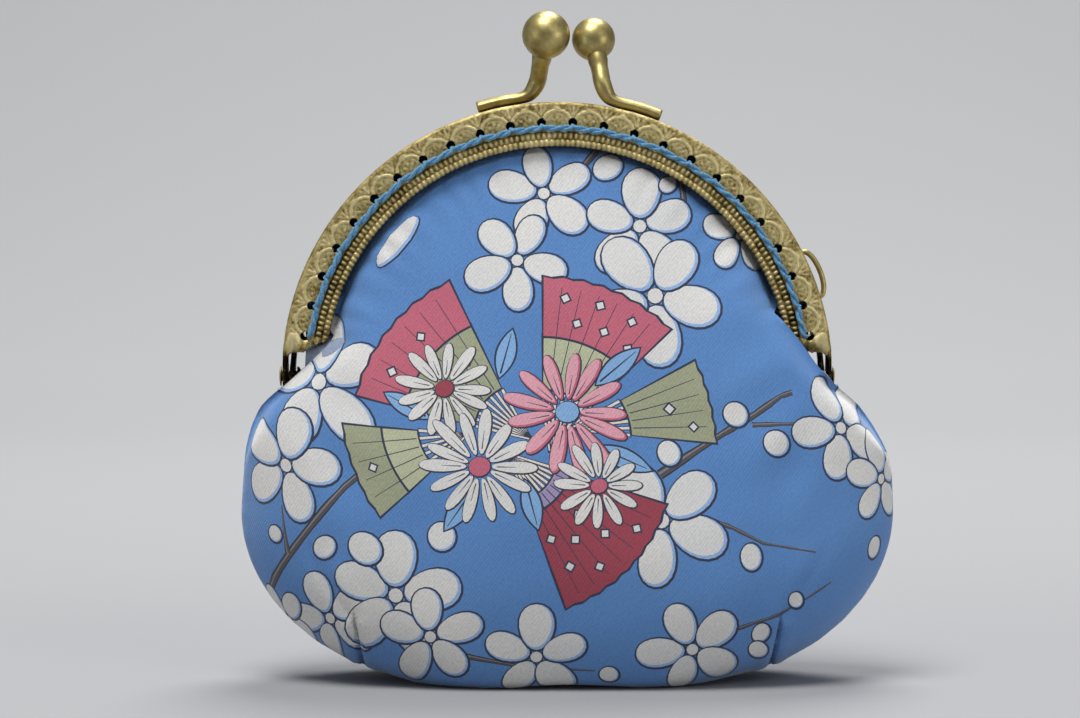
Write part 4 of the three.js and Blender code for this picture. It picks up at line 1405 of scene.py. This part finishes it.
def stage_material(name, floor, wall):
    """Matt paper, of one grey on the floor and another on the wall behind; the darker floor is painted
    shade.
    """
    n = Nodes(name)
    apart = n.add("ShaderNodeSeparateXYZ")
    n.link(n.add("ShaderNodeTexCoord").outputs["Object"], apart.inputs[0])
    n.link(n.ramp(apart.outputs[1], (0.05, floor), (0.6, wall)), n.shader.inputs["Base Color"])
    n.surface(Roughness=1.0, Specular_IOR_Level=0.0)
    return n.material


def build_stage():
    """A floor that curves up into a backdrop, and the dark side of the room in front of the purse."""
    profile = [(-0.9, 0.0), (0.5, 0.0)]
    for k in range(1, 13):
        angle = k / 12 * math.pi / 2
        profile.append((0.5 + 0.5 * math.sin(angle), 0.5 - 0.5 * math.cos(angle)))
    profile.append((1.0, 2.0))
    points, faces = [], []
    for y, z in profile:
        points += [(-2.5, y, z), (2.5, y, z)]
    for k in range(len(profile) - 1):
        faces.append((2 * k, 2 * k + 1, 2 * k + 3, 2 * k + 2))
    material = stage_material("backdrop", SHADED_FLOOR, WALL)
    obj = make_mesh("backdrop", np.array(points) / MM, faces, material)
    obj.location.z = -0.0002
    corners = [(-0.8, -0.9, 0.0), (0.8, -0.9, 0.0), (0.8, -0.9, 0.5), (-0.8, -0.9, 0.5)]
    dark = stage_material("room", ROOM, ROOM)
    make_mesh("room", np.array(corners) / MM, [(0, 1, 2, 3)], dark)


def area_light(name, place, target, size, power):
    data = bpy.data.lights.new(name, "AREA")
    data.shape = "DISK"
    data.size = size
    data.energy = power
    obj = bpy.data.objects.new(name, data)
    obj.location = place
    obj.rotation_euler = (Vector(target) - Vector(place)).to_track_quat("-Z", "Y").to_euler()
    bpy.context.scene.collection.objects.link(obj)


def build_lights():
    world = bpy.data.worlds.new("studio")
    world.use_nodes = True
    sky = world.node_tree.nodes["Background"]
    sky.inputs["Color"].default_value = (0.94, 0.97, 1.0, 1.0)
    sky.inputs["Strength"].default_value = 0.34
    bpy.context.scene.world = world
    area_light("key", (-0.15, -0.3, 1.0), (0, 0, 0.05), 0.5, 10.0)
    area_light("fill", (0.6, -0.8, 0.7), (0, 0, 0.05), 0.5, 1.4)
    area_light("back", (0.1, 0.4, 0.85), (0, 0, 0.05), 0.5, 8.0)
    area_light("low_left", (-0.6, -0.45, 0.07), (-0.04, 0, 0.02), 0.3, 0.6)
    area_light("low_right", (0.6, -0.4, 0.07), (0.04, 0, 0.02), 0.3, 1.0)


def build_camera():
    """Looks almost straight on, framed so that the arch lies where the photograph has it."""
    distance = CAMERA_DISTANCE * MM
    data = bpy.data.cameras.new("camera")
    data.sensor_width = 36.0
    data.lens = 36.0 * CAMERA_DISTANCE / PICTURE_WIDTH
    data.clip_end = 20.0
    obj = bpy.data.objects.new("camera", data)
    rise = (HINGE + AIM_RISE) * MM + distance * math.sin(CAMERA_ELEVATION)
    obj.location = (AIM_X * MM, -distance * math.cos(CAMERA_ELEVATION), rise)
    obj.rotation_euler = (math.pi / 2 - CAMERA_ELEVATION, 0.0, 0.0)
    bpy.context.scene.collection.objects.link(obj)
    bpy.context.scene.camera = obj


build_stage()
build_lights()
build_camera()
bpy.context.scene.view_settings.view_transform = "Standard"
